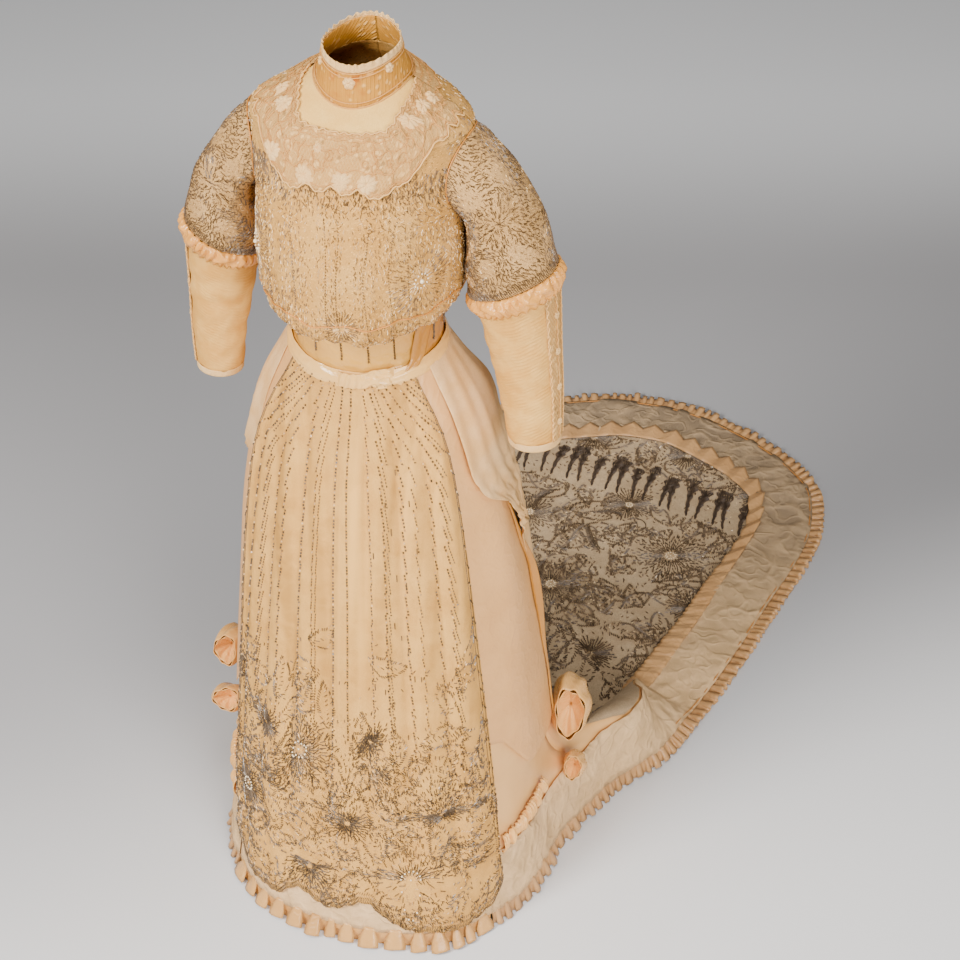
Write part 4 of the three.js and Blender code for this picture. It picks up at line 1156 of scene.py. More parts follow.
# ---- what a user may change
class GownSizes(bpy.types.PropertyGroup):
    """The gown's sizes that a user may change."""
    cloth: bpy.props.FloatProperty(
        name="Cloth", description="Thickness of the satin and the net",
        default=0.001, min=0.0004, max=0.003, precision=4, unit="LENGTH")
    bugle: bpy.props.FloatProperty(
        name="Bugle bead", description="Length of a bugle bead",
        default=0.0052, min=0.002, max=0.012, precision=4, unit="LENGTH")
    bead: bpy.props.FloatProperty(
        name="Bead width", description="Width of a bead",
        default=0.0012, min=0.0008, max=0.004, precision=4, unit="LENGTH")
    pearl: bpy.props.FloatProperty(
        name="Pearl", description="Half width of a pearl",
        default=0.0026, min=0.001, max=0.006, precision=4, unit="LENGTH")
    front_pleat: bpy.props.FloatProperty(
        name="Front pleat", description="Width of a hem pleat in front",
        default=0.033, min=0.02, max=0.1, unit="LENGTH")
    train_pleat: bpy.props.FloatProperty(
        name="Train pleat", description="Width of a hem pleat on the train",
        default=0.021, min=0.01, max=0.1, unit="LENGTH")
    cord: bpy.props.FloatProperty(
        name="Cord", description="Half width of the lace's cords",
        default=0.0009, min=0.0004, max=0.003, precision=4, unit="LENGTH")


class GownColours(bpy.types.PropertyGroup):
    """The gown's colours that a user may change."""
    satin: bpy.props.FloatVectorProperty(
        name="Satin", description="Peach satin of the skirt and drapes",
        default=(0.79, 0.44, 0.155), min=0, max=1, subtype="COLOR")
    ribbon: bpy.props.FloatVectorProperty(
        name="Ribbon", description="Brighter satin of the bow loops",
        default=(0.86, 0.47, 0.15), min=0, max=1, subtype="COLOR")
    net: bpy.props.FloatVectorProperty(
        name="Net", description="Net of the front panel",
        default=(0.73, 0.39, 0.10), min=0, max=1, subtype="COLOR")


def sizes():
    """The user's sizes, in metres."""
    return bpy.context.scene.gown_sizes


def area_light(name, place, target, width, power, colour):
    """A round light that looks at a target."""
    light = bpy.data.lights.new(name, "AREA")
    light.shape, light.size, light.energy, light.color = "DISK", width, power, colour
    lamp = bpy.data.objects.new(name, light)
    bpy.context.scene.collection.objects.link(lamp)
    lamp.location = place
    from_lamp = array(target) - array(place)
    flat = math.hypot(from_lamp[0], from_lamp[1])
    lamp.rotation_euler = (math.atan2(flat, -from_lamp[2]), 0, math.atan2(-from_lamp[0], from_lamp[1]))


class GOWN_OT_stage(bpy.types.Operator):
    """Lays the floor, sets the studio light and places the camera"""
    bl_idname = "gown.stage"
    bl_label = "Stage"

    def execute(self, context):
        # The floor is a disc of rings and spokes: radius grows evenly, and every point is at floor height.
        ring, spoke = np.meshgrid(linspace(0, 9000, 10), linspace(0, 2 * pi, 65), indexing="ij")
        floor_points = xyz(ring * cos(spoke), ring * sin(spoke), FLOOR - FLOOR_GAP)
        made = Finish("floor", Roughness=0.9, Specular_IOR_Level=0.1)
        place = made.place()
        x, y = (made.part(place, k) for k in range(2))
        # Painted shade on the floor: pale in front and darker further back, where the light falls off; far
        # off it turns pale again for the backdrop.
        near = (x * -0.61 + y * 0.865 + 2.2).between(1.7, 2.85)
        far = (x * -0.2756 + y * 0.9613 + 2.2).between(3.9, 5.0)
        tone = made.mix(near, (0.76, 0.75, 0.745), (0.41, 0.40, 0.405))
        made.link("Base Color", made.mix(far, tone, (0.93, 0.93, 0.94)))
        floor = mesh_object("floor", floor_points, grid_faces(10, 65), made.material)
        world = bpy.data.worlds.new("studio")
        world.use_nodes = True
        world.node_tree.nodes["Background"].inputs["Color"].default_value = (1.0, 1.0, 1.0, 1)
        world.node_tree.nodes["Background"].inputs["Strength"].default_value = 0.2
        bpy.context.scene.world = world
        for light in LIGHTS:
            area_light(*light)
        camera = bpy.data.objects.new("camera", bpy.data.cameras.new("camera"))
        camera.data.lens, camera.data.sensor_width = CAMERA["lens"], CAMERA["sensor"]
        camera.location = CAMERA["place"]
        camera.rotation_euler = [math.radians(turn) for turn in CAMERA["turn"]]
        bpy.context.scene.collection.objects.link(camera)
        bpy.context.scene.camera = camera
        return {"FINISHED"}


def bead_bodice_front(cloth):
    """Beads over the bodice's front: strewn rows with stars, columns of long beads, a fringe and pearls."""
    clear, grey, bugle, width = bead_kit()
    stars = ((134, 205, 52), (-150, 190, 46), (20, 262, 26))
    x, y = strewn(236, 3, 348, 4.1, 5.8, 3)
    under_lace = (y < 54) & (abs(x) < 105 + y)
    x, y = x[~under_lace], y[~under_lace]
    draw = np.random.default_rng(4)
    column = abs(x + 28 - 0.04 * y) < 8
    column |= (abs(x - 30) < 8) | (abs(x - 64 - 0.05 * y) < 6) & (y > 190) | (abs(x + 82) < 6)
    plain_strip = column & (y > 108) & (y < 235)
    keep = draw.random(len(x)) < where(plain_strip, 0.06, where(y < 108, 1.0, 0.74))
    x, y = x[keep], y[keep]
    rows = places(x, y, headings(x, y, stars, 0.0022, 5))
    pick = draw.random(len(rows)) < where(y < 112, 0.34, 0.5)
    embroider(clear, cloth, rows[pick], bugle * 0.85, width * 0.95, 0.72, 6)
    embroider(grey, cloth, rows[~pick], bugle * 0.85, width * 0.95, 0.62, 7)
    x, y = draw.uniform(-180, 180, 620), 56 + 44 * draw.beta(1, 1.8, 620)
    fringe = places(x, y, draw.normal(DOWN, 0.3, 620))
    embroider(grey, cloth, fringe, bugle * 1.2, width * 1.15, 0.42, 8)
    for k, (cx, cy, reach) in enumerate(stars):
        for ring, count in ((0.30, 18), (0.52, 26), (0.78, 34)):
            turn = arange(count) * 2 * pi / count + ring
            rays = places(cx + reach * ring * cos(turn), cy + reach * ring * sin(turn), turn)
            bag = clear if ring < 0.5 else grey
            embroider(bag, cloth, rays, bugle * 1.25, width, 0.6, 10 + k, (cx, cy))
    for k, edge in enumerate((-54, -4, 12, 50, 84, 110, -110)):
        y = arange(112, 330, 4.2)
        rows = places(edge + 0.04 * (y - 110) + 2 * sin(y / 25 + k), y)
        embroider(grey, cloth, rows, 2.2, width * 1.1, 0.35, 20 + k)
    clear.make("bodice_beads_clear", "clear_beads")
    grey.make("bodice_beads_grey", "grey_beads")
    spots = array([(cx, cy) for cx, cy, _ in stars[:2]], float)
    around = concatenate([spots + 11 * array([math.cos(a), math.sin(a)]) for a in arange(12) * pi / 6])
    size = sizes().pearl / MM * array([1.25] * len(spots) + [0.55] * len(around))
    spots = concatenate([spots, around])
    i, j, _ = cloth.find(*spots.T)
    pearls("bodice_pearls", *cloth.spots(i, j), size)


def bead_bodice_back(name, cloth):
    """Beads over half of the bodice's back, strewn, with two stars."""
    clear, grey, bugle, width = bead_kit()
    x, y = strewn(130, 40, 345, 8.0, 9.0, 71)
    rows = places(x, y, headings(x, y, ((-30, 120, 36), (38, 210, 40)), 0.002, 72))
    embroider(clear, cloth, rows[::2], bugle * 0.8, width * 0.8, 0.66, 73)
    embroider(grey, cloth, rows[1::2], bugle * 0.85, width * 0.8, 0.5, 74)
    clear.make(f"bodice_back_beads_{name}_clear", "clear_beads")
    grey.make(f"bodice_back_beads_{name}_grey", "grey_beads")


class GOWN_OT_bodice(bpy.types.Operator):
    """Sews the beaded bodice, front and backs, with its gathers pouched over the belt"""
    bl_idname = "gown.bodice"
    bl_label = "Bodice"

    def execute(self, context):
        front = Cloth(front_at, linspace(-90, 90, 101), BODICE_LEVELS, pouch, -1)
        sew("bodice_front_cloth", front, "beaded_net")
        for name, side in SIDES.items():
            sign = side["sign"]
            back = Cloth(back_at(sign), linspace(90, 180, 37), BODICE_LEVELS, pouch, -sign)
            sew(f"bodice_back_{name}_cloth", back, "beaded_net")
            bead_bodice_back(name, back)
        bead_bodice_front(front)
        return {"FINISHED"}


def flower(cx, cy, radius, petals, cloth, dome=3.0, turn=0.0):
    """A worked flower on a cloth: petals bulge with the cosine of the angle between them, each rising to
    a dome part way out and dipping at the middle."""
    spoke, share = np.meshgrid(linspace(0, 2 * pi, petals * 8 + 1), steps(7), indexing="ij")
    petal = abs(cos((spoke - turn) * petals / 2))
    reach = radius * share * (0.78 + 0.22 * petal ** 0.6)
    i, j = cloth.near((cx, cy), cx + reach * cos(spoke), cy + reach * sin(spoke))
    rise = 1.0 - 1.6 * (share > 0.99) + dome * sin(pi * share**0.8) * (0.5 + 0.5 * petal)
    points = cloth.spots(i, j, rise[..., None])[0]
    return points if cloth.turn < 0 else points[::-1]


def flowers(name, blooms):
    """Worked flowers joined as one piece."""
    points, faces, start = [], [], 0
    for grid in blooms:
        m, n = grid.shape[:2]
        points.append(grid.reshape(-1, 3))
        faces.append(grid_faces(m, n) + start)
        start += m * n
    points, faces = concatenate(points), concatenate(faces)
    dress(mesh_object(name, points, faces, finish("thread_white"), points[:, [0, 2]]))


def along_grid(cloth, i, j, rise=0.7):
    """A line of grid places on a cloth, given as shares of its width and length."""
    m, n = cloth.u.shape
    i, j = np.broadcast_arrays(np.asarray(i, float) * (m - 1), np.asarray(j, float) * (n - 1))
    return cloth.spots(i, j, rise)


def neck_lace():
    """The lace round the neckline: scalloped bands, cords worked over them and flowers."""
    def edge(angle, turns, depth):
        """Uneven scallops: the size of a sine whose phase swings with the angle."""
        return depth * abs(sin(radians(angle) * turns + 0.6 * sin(radians(angle) * 5)))

    def at(angle, share):
        """The torso from the neckline down to the lace's scalloped edge."""
        inner = np.minimum(neckline(angle) - 0.06 + edge(angle, 24, 0.09), NECK - 0.05)
        return torso(angle, mix(inner, lace_edge(angle) - edge(angle, 11, 0.2), share))
    front = Cloth(at, linspace(-90, 90, 161), steps(20),
                  lambda a, s: 3.6 + 0.9 * waves(a / 14, s * 1.5, 81) + 0.8 * sin(s * 9.5) ** 2, -1)
    sew("neck_lace_front_band", front, "lace", THIN)
    lines, picots = [], []
    share = linspace(0.004, 0.996, 200)
    for down, swing in ((0.1, 0.012), (0.17, 0.012), (0.36, 0.03), (0.68, 0.03), (0.93, 0.015)):
        lines.append(along_grid(front, share, down + swing * sin(share * 90 + 8 * down)))
    for down in (0.02, 0.985):
        picots.append(along_grid(front, share, down + 0.012 * sin(share * 240)))
    for x in (-34, -30, -22, 24, 31, 36):
        down = linspace(0.08, 0.97, 30)
        lines.append(along_grid(front, 0.5 + x * (1 + 0.3 * down) / 180 + 0.004 * sin(down * 22 + x), down))
    draw = np.random.default_rng(82)
    turn = linspace(0, 2 * pi, 15)
    for k in range(30):
        middle, down, reach = (k + 0.5) / 30, 0.28 + 0.5 * draw.random(), draw.uniform(0.008, 0.014)
        lines.append(along_grid(front, middle + reach * cos(turn), down + 7 * reach * sin(turn)))
    for k in range(26):
        x, y, lean = draw.uniform(0.05, 0.95), draw.uniform(0.15, 0.6), draw.uniform(-1, 1)
        t = steps(12)
        lines.append(along_grid(front, x + 0.03 * lean * t + 0.004 * sin(9 * t), y + 0.32 * t))
    blooms = []
    m, n = front.u.shape
    for angle, down, radius in LACE_FLOWERS:
        i, row = (angle + 90) / 180 * (m - 1), int(down * (n - 1))
        x = interp(i, arange(m), front.wide[:, row])
        blooms.append(flower(x, front.long[m // 2, row], radius, 9, front, 2.6, angle))
    flowers("neck_lace_flowers", blooms)
    for name, side in SIDES.items():
        sign = side["sign"]
        back = Cloth(lambda a, s, sign=sign: torso(sign * a, mix(NECK - 0.06, 7.2 - edge(a, 11, 0.15), s)),
                     linspace(90, 180, 61), steps(12), 3.8, -sign)
        sew(f"neck_lace_back_{name}_band", back, "lace",
            THIN)
        for down in (0.02, 0.3, 0.62, 0.98):
            lines.append(along_grid(back, share[::2], down + 0.02 * sin(share[::2] * 80)))
    tube("neck_lace_cords", lines, sizes().cord / MM * 0.75, "orange_cord", 3)
    tube("neck_lace_picots", picots, sizes().cord / MM * 1.2, "cord", 5)


def collar():
    """The boned collar, its waved edging, its cords and three flowers."""
    around = full_turn(120)
    # The edging takes the last 5 mm of the collar's 53 mm.
    top = 1 - 5 / 53
    wall = Cloth(lambda a, s: collar_wall(a, (1 - s) * top), around, steps(19),
                 lambda a, s: 0.35 * waves(a / 25, s, 91), -1, True)
    sew("collar_band", wall, "collar_lace", 1.2)

    def rim(angle, share):
        """The collar's upper edge, which waves in and out and up and down."""
        turn = radians(angle)
        wave = sin(turn * 33 + 1.5 * sin(turn * 4)) * (0.7 + 0.3 * sin(turn * 9))
        points = collar_wall(angle, mix(1.05, top - 0.06, share) + 0.03 * wave * (1 - share))
        c, s = circle(angle)
        return points + xyz(s, -c, 0) * ((1 - share) * 1.6 * wave + 1.0)[..., None]
    edging = Cloth(rim, full_turn(264), steps(6), 0.0, -1, True)
    sew("collar_edging_band", edging, "thread_white", RIBBON_THICK)
    angle = full_turn(180)
    c, s = circle(angle)
    out = xyz(s, -c, 0)
    rings = [(collar_wall(angle, full(angle.shape, share)) + out * off, out)
             for share, off in ((0.02, 2.0), (0.12, 1.2), (0.72, 1.0), (0.82, 1.0))]
    tube("collar_cords", rings, 0.8, "orange_cord", 5, True)
    flowers("collar_flowers", [flower(*bloom, wall, 2.4, bloom[0]) for bloom in COLLAR_FLOWERS])


class GOWN_OT_neck(bpy.types.Operator):
    """Sews the net yoke, the lace round the square neckline, and the boned collar with its edging"""
    bl_idname = "gown.neck"
    bl_label = "Neck and collar"

    def execute(self, context):
        yoke = Cloth(lambda a, s: torso(a, mix(NECK, neckline(a) - 0.3, s)),
                     linspace(-88, 88, 73), steps(14), 1.6, -1)
        sew("yoke_cloth", yoke, "yoke_net")
        neck_lace()
        collar()
        return {"FINISHED"}


def over_sleeve(name, side):
    """A short beaded sleeve, its beads in sprays and stars, and the cord round the armhole."""
    sign = side["sign"]
    rings = (None, *OVER_SLEEVE)
    ring = full_turn(72)
    cloth = Cloth(lambda u, v: sleeve(rings, side, u, v), ring, linspace(0, 3, 41),
                  lambda u, v: 0.8 + (1.3 * waves(u / 70, v * 0.7, 101, 0.5, 1.6)
                                      + 1.6 * sin(radians(u) * 15 + v) * exp(-v * 2.2)) * ease(v * 3),
                  -sign, True)
    sew(f"sleeve_over_{name}_cloth", cloth, "dark_net")
    length = cloth.long[36, -1]
    clear, grey, bugle, width = bead_kit()
    stars = ((-70, length * 0.46, 34), (20, length * 0.66, 38), (110, length * 0.5, 34))
    x, y = strewn(215, 2, length - 4, 4.0, 5.0, 102)
    heading = headings(x, y, stars, 0, 103)
    swung = heading - 0.5 + 0.5 * sin(x / 15 + y / 22)
    rows = places(x, y, where(abs(heading - DOWN) < 1, swung, heading))
    sprays = sin(x / 8.5 + 1.6 * sin(y / 17) + y / 30) + 0.8 * sin(y / 9.5 + 1.4 * sin(x / 21))
    for cx, cy, reach in stars:
        away = hypot(x - cx, y - cy)
        rays = where(sin(12 * np.arctan2(y - cy, x - cx)) > -0.3, 1.0, -1.0)
        sprays = where(away < reach, rays * (away > 7), sprays)
    sprays += ease((70 - y) / 50) * (x > -40) + 1.2 * ease((y - length + 40) / 30)
    thick = sprays > -0.45
    embroider(grey, cloth, rows[thick], bugle * 0.95, width * 1.1, 0.28, 104)
    embroider(clear, cloth, rows[~thick][::4], bugle * 0.8, width * 0.9, 0.5, 105)
    embroider(grey, cloth, rows[~thick][1::3], bugle * 0.7, width * 0.8, 0.7, 106)
    hem = []
    for k, y in enumerate((3.5, 8, 13)):
        x = arange(-215, 215, 2.8) + k * 1.4
        hem.append(places(x, length - y + 1.5 * sin(x / 9), DOWN - 0.5 + 0.25 * (k % 2)))
    embroider(grey, cloth, concatenate(hem), bugle, width, 0.3, 110)
    clear.make(f"sleeve_beads_{name}_clear", "clear_beads", "dark_beaded_net")
    grey.make(f"sleeve_beads_{name}_grey", "grey_beads", "dark_beaded_net")
    edge, out = cloth.points[:, 0], cloth.out[:, 0]
    tube(f"armhole_cord_{name}", [(edge + out, out)], 0.8, "facing_satin", 6, True)


def under_sleeve(name, side):
    """A tucked net sleeve with its cuff, its strip of lace, and the ruche under the short sleeve."""
    sign = side["sign"]
    ring = full_turn(48)
    last = len(UNDER_SLEEVE) - 1
    # The cuff is the last 9 mm of the 69 mm between the sleeve's last two rings.
    cuff_top = last - 9 / 69

    def at(u, v):
        return sleeve(UNDER_SLEEVE, side, u, v)
    cloth = Cloth(at, ring, linspace(0, cuff_top, 42),
                  lambda u, v: 0.6 + 0.9 * waves(u / 60, v * 1.6, 121, 0.5, 1.8)
                  + 0.8 * creases(u / 90, v * 2.4, 122, low=0.8, high=1.8), -sign, True)
    sew(f"sleeve_under_{name}_cloth", cloth, "sleeve_net")
    cuff = Cloth(at, ring, linspace(cuff_top - 0.03, last, 8), 1.3, -sign, True)
    sew(f"cuff_band_{name}_cloth", cuff, "thread_white")
    strip = Cloth(at, linspace(-36, 10, 15), linspace(1.02, cuff_top - 0.02, 80), 2.2, -sign)
    sew(f"sleeve_lace_{name}_strip", strip, "lace",
        THIN)
    down = linspace(0.01, 0.99, 190)
    lines = [along_grid(strip, share + swing * sin(down * 130), down, 0.8)
             for share, swing in ((0.06, 0.035), (0.94, 0.035), (0.5, 0.02))]
    tube(f"sleeve_lace_cords_{name}", lines, 0.9, "cord", 5)
    length = strip.long[7, -1]
    blooms = [flower(0, length * share, 6.0, 6, strip, 1.6) for share in (0.16, 0.4, 0.64, 0.88)]
    flowers(f"sleeve_lace_flowers_{name}", blooms)
    # The ruche starts 8 mm down the 31 mm between the sleeve's first two rings, and is 24 mm wide.
    top, reach = 8 / 31, 24 / 31

    def puffs(u, v):
        """A bulge across the ribbon, in uneven gathers, with frilled edges."""
        share = (v - top) / reach
        gather = abs(sin(radians(u) * 12 + 1.6 * sin(radians(u) * 5 + 1) + 0.8 * sin(5 * share))) ** 0.8
        frilled = 2.2 * cos(radians(u) * 34 + 2 * sin(radians(u) * 3)) * (abs(share - 0.5) * 2) ** 2
        return 3.0 + sin(pi * np.clip(share, 0, 1)) ** 0.6 * (2.0 + 8.0 * gather) + frilled
    ruche = Cloth(at, full_turn(250), linspace(top - 0.03, top + reach * 1.08, 9), puffs, -sign, True)
    sew(f"sleeve_ruche_{name}_ribbon", ruche, "ruche_satin",
        RIBBON_THICK)


class GOWN_OT_sleeves(bpy.types.Operator):
    """Sews the beaded over-sleeves, their ruches, and the tucked under-sleeves with lace and cuffs"""
    bl_idname = "gown.sleeves"
    bl_label = "Sleeves"

    def execute(self, context):
        for name, side in SIDES.items():
            over_sleeve(name, side)
            under_sleeve(name, side)
        return {"FINISHED"}


class GOWN_OT_waist(bpy.types.Operator):
    """Sews the pleated waistband, the ribbon belt, its knot and its hanging end"""
    bl_idname = "gown.waist"
    bl_label = "Waist"

    def execute(self, context):
        ring = full_turn(120)
        band = Cloth(waist_wall, ring, linspace(0, 2, 19),
                     lambda a, s: 0.9 + 1.1 * abs(sin(s * 2.6 * pi + 0.8 * sin(radians(a) * 4))) * (s < 1.05)
                     + 0.5 * waves(a / 30, s, 131), -1, True)
        sew("waistband_cloth", band, "band_satin")

        def ribbon(angle, stage):
            """The belt runs on down over the tops of the panel and drapes, and is crushed a little."""
            return waist_wall(angle, np.minimum(stage, 2)) + xyz(0, 0, -12 * np.maximum(0, stage - 2) / 0.75)
        belt = Cloth(ribbon, ring, linspace(1.3, 2.75, 17),
                     lambda a, s: 3.2 + 2.8 * ease((s - 1.4) / 0.7)
                     + 1.3 * abs(sin((s - 0.9) * 1.7 * pi + 1.4 * waves(a / 40, s / 2, 132, 0.4, 1.3))),
                     -1, True)
        sew("belt_ribbon", belt, "belt_satin", RIBBON_THICK)

        def tied(a, s):
            """The knot, a tall middle, and beside it the crumpled tie."""
            bulge = np.sqrt(np.clip(1 - ((a - 2) / 8.5) ** 2, 0, 1)) * (1 + 0.22 * sin(a * 1.3 + s * 3))
            tie = ease((a - 8) / 5) * ease((34 - a) / 6)
            return 4.2 + 5.5 * bulge + tie * (2.5 + 3.0 * creases(a / 11, s * 1.6, 134, low=0.6, high=1.6))
        knot = Cloth(lambda a, s: ribbon(a, s - 0.35 * ease((a - 8) / 12)),
                     linspace(-6.5, 34, 61), linspace(1.4, 2.65, 21), tied, -1)
        sew("belt_knot_ribbon", knot, "belt_satin", RIBBON_THICK)

        def end_at(u, v):
            """A strip of the belt's surface that slants forward and narrows on its way down."""
            return ribbon(mix(mix(56.0, 40.0, v), mix(74.0, 52.0, v), u), mix(0.05, 1.7, v))
        end = Cloth(end_at, steps(13), steps(28),
                    lambda u, v: 3.6 + 1.6 * v + 1.2 * sin(u * 1.5 * pi + v) ** 2, -1)
        sew("belt_end_ribbon", end, "end_satin", RIBBON_THICK)
        beads, clear = Beads(), Beads()
        height = band.long[60, -1] * 0.7
        for k, angle in enumerate((-66, -46, -24, -4, 14, 32, 50, 70, 95, 120, 150, 180, -150, -120, -95)):
            x = interp((angle + 180) / 3, arange(120), band.wide[:, 9])
            y = arange(3, height, 4.6)
            embroider(beads, band, places(x, y), 3.0, 2.8, 0.1, 140 + k)
        draw = np.random.default_rng(141)
        x = draw.uniform(-330, 330, 500)
        top = places(x, 1 + 7 * draw.beta(1, 2, 500), draw.uniform(0, 3.1, 500))
        embroider(clear, band, top, 3.4, 1.1, 0.7, 142)
        beads.make("waist_beads_grey", "grey_beads", "satin")
        clear.make("waist_beads_clear", "clear_beads", "satin")
        angle = linspace(-88, 88, 140)
        level = 2.22 + 0.05 * sin(angle / 5)
        place = torso(angle, level)
        out = unit(place * [1, 1, 0])
        line = place + out * (pouch(angle, level) + 1)[:, None], out
        tube("pouch_seam_thread", [line], 1.0, "facing_satin", 5)
        return {"FINISHED"}


class GOWN_OT_skirt(bpy.types.Operator):
    """Sews the five gores of the satin skirt"""
    bl_idname = "gown.skirt"
    bl_label = "Skirt"

    def execute(self, context):
        down = concatenate([steps(22), linspace(1, 2, 10)[1:], linspace(2, 3, 16)[1:],
                            linspace(3, FRILL_STAGE, 6)[1:]])
        for name, (start, stop, count) in GORES.items():
            gore = Cloth(lying(plain), linspace(start, stop, count), down, 0.3, -1)
            sew(f"{name}_cloth", gore, "satin")
        return {"FINISHED"}


def bead_panel(cloth):
    """Beads over the front panel: rows down it, flowers, leaves and tendrils, and edgings."""
    clear, grey, bugle, width = bead_kit()
    m, n = cloth.u.shape
    middle_run = cloth.long[m // 2]
    length = middle_run[-1]
    draw = np.random.default_rng(151)
    for k in range(16):
        share = -0.985 + k * 1.97 / 15 + 0.014 * math.sin(k * 3)
        stop = length * (0.70 + 0.06 * math.sin(k * 2.2)) if 0 < k < 15 else length * 0.97
        y = arange(8, stop, 5.0)
        j = interp(y, middle_run, arange(n))
        x = cloth.sample(cloth.wide, full(len(y), (share + 1) / 2 * (m - 1)), j)
        rows = places(x + 0.9 * sin(y / 60 + k), y)
        dark = (arange(len(y)) + k) % 4 < 3
        embroider(grey, cloth, rows[dark], 2.7, 2.7 if k % 3 else 2.0, 0.15, 200 + k)
        embroider(clear, cloth, rows[~dark], 2.6, 2.4, 0.4, 230 + k)
        if k % 4 == 2:
            embroider(grey, cloth, rows + [6.5, 0, 0], 2.5, width * 1.5, 0.25, 260 + k)
    rows = leaves(345, 370, 925, 37, PANEL_FLOWERS, lambda y: (y - 380) / 280, 152, 0.5)
    pick = draw.random(len(rows)) < 0.25
    embroider(clear, cloth, rows[pick], bugle * 0.75, width * 1.05, 0.45, 154)
    embroider(grey, cloth, rows[~pick], bugle, width * 1.25, 0.3, 155)
    for k, (x, y, radius, petals) in enumerate(PANEL_FLOWERS):
        rows = rosette(x, y, radius, petals, 0.4 * k)
        size = bugle * (1.9 if k < 2 else 1.25)
        embroider(grey, cloth, rows, size, width * 1.35, 0.2, 300 + k, (x, y))
        inner = daisy(x, y, radius * 0.62, petals, 4.8, 0.4 * k + pi / petals, False)
        embroider(clear if k < 2 else grey, cloth, inner, bugle * 1.1, width * 1.3, 0.3, 320 + k, (x, y))
    for k in range(9):
        x, y = -225 + (k * 67) % 450, 600 + (k * 41) % 280
        rows = frond(x, y, draw.uniform(-2.6, -0.5), draw.uniform(45, 85), 7, 4.4, draw.uniform(-1.2, 1.2))
        embroider(grey, cloth, rows, bugle * 0.8, width * 0.9, 0.3, 340 + k)
    for k in range(20):
        x, y = -215 + (k * 97) % 440, 590 + (k * 53) % 290
        rows = scroll(x, y, draw.uniform(12, 22), 1.3, 4.2, k, 1 - 2 * (k % 2))
        embroider(grey if k % 3 else clear, cloth, rows, bugle * 0.8, width, 0.4, 390 + k)
    run = stepped(cloth.points[:, -1])
    for k, off in enumerate((2.5, 6.5, 11, 15, 20)):
        i = interp(arange(2, run[-1] - 2, 2.9 if k < 3 else 3.8), run, arange(m))
        column = np.clip(np.round(i).astype(int), 0, m - 1)
        j = n - 1 - off / (cloth.long[column, -1] - cloth.long[column, -2])
        middle, out = cloth.spots(i, j)
        along = cloth.sample(cloth.points, i + 0.4 * (1 - 2 * (k % 2)), j - 1) - middle
        tones = np.clip(draw.normal(0.35, 0.15, len(i)), 0, 1)
        (clear if k == 3 else grey).add(middle, along, out, bugle * 0.8, width * 0.95, tones)
    for edge in (0.004, 0.014, 0.986, 0.996):
        j = interp(arange(8, length * 0.97, 3.6), middle_run, arange(n))
        i = full(len(j), edge * (m - 1))
        middle, out = cloth.spots(i, j)
        along = cloth.sample(cloth.points, i + 0.35, j + 1) - middle
        grey.add(middle, along, out, bugle * 0.6, width * 0.9, np.clip(draw.normal(0.3, 0.15, len(i)), 0, 1))
    clear.make("panel_beads_clear", "clear_beads")
    grey.make("panel_beads_grey", "panel_beads")
    spots = []
    for x, y, radius, _ in PANEL_FLOWERS[:3]:
        turn = np.append(arange(14) * pi / 7, 0)
        reach = radius * 0.24 * (arange(15) < 14)
        spots.append(stack(cloth.near((x, y), x + reach * cos(turn), y + reach * sin(turn))))
    i, j = concatenate(spots, 1)
    pearls("panel_pearls", *cloth.spots(i, j), full(len(i), sizes().pearl / MM * 0.65))


def side_drape(name, side):
    """A side drape and the facing that is turned over along its back edge."""
    sign = side["sign"]
    at = over_skirt(drape_place(sign))
    drape = Cloth(at, steps(45), steps(70), drape_lift(side), -sign)
    sew(f"side_drape_{name}_satin", drape, "drape_satin")

    def turned(u, v):
        """The drape's own back edge turned over: a half round that stands off it and waves."""
        m, n = drape.u.shape
        i, j = full(v.shape, m - 1.0), v * (n - 1)
        edge, out = drape.spots(i, j)
        inward = unit(drape.sample(drape.points, i - 1, j) - edge)
        opened = exp(-((v - 0.6) / 0.13) ** 2) * (sign > 0)
        wide = 5 + 9 * opened + 3.0 * sin(v * 19) * (0.3 + opened) + 2 * sin(v * 43)
        stand = (2.6 + 11 * opened) * sin(u * pi) + 1.2
        return edge + inward * (wide * (u - 0.15))[..., None] + out * stand[..., None]
    facing = Cloth(turned, steps(9), linspace(0.25, 1, 130), 0.0, sign)
    sew(f"side_drape_{name}_facing", facing, "end_satin",
        RIBBON_THICK, extra=True)


def hip_drape(name, side):
    """A gathered chiffon drape over the hip."""
    sign, billow = side["sign"], side["billow"]

    def folds(p, q):
        """Long ridges, crumpled where the drape is caught up, with a flap and a knot on the left side."""
        ridge = sin(p * 5 * pi + 2.5 * q + 0.6 * sin(6 * q)) ** 2 * sin(pi * np.clip(q / 1.05, 0, 1)) ** 0.6
        crumple = creases(p * 3.0, q * 6.0, 161, low=0.7, high=2.0) * exp(-((q - 0.55) / 0.2) ** 2)
        flap = 11 * (sign > 0) * exp(-(((q - 0.2) / 0.1) ** 2) - ((p - 0.75) / 0.22) ** 2)
        knot = 13 * exp(-(((q - 0.72) / 0.09) ** 2) - ((p - 0.12) / 0.15) ** 2)
        knot = knot * (sign > 0) * (0.4 + creases(p * 7, q * 12, 162, low=0.6, high=1.6))
        held = 1 if sign > 0 else ease(p / 0.25) * ease((1 - p) / 0.25) * ease((1 - q) / 0.2)
        stand = (billow + 1) * ease(q * 3) + 3.4 * ridge + 4.0 * crumple
        return 2 * LAID + 1 + held * stand + flap + knot
    hip = Cloth(over_skirt(hip_place(sign)), steps(49), steps(72), folds, -sign)
    sew(f"hip_drape_{name}_chiffon", hip, "chiffon")


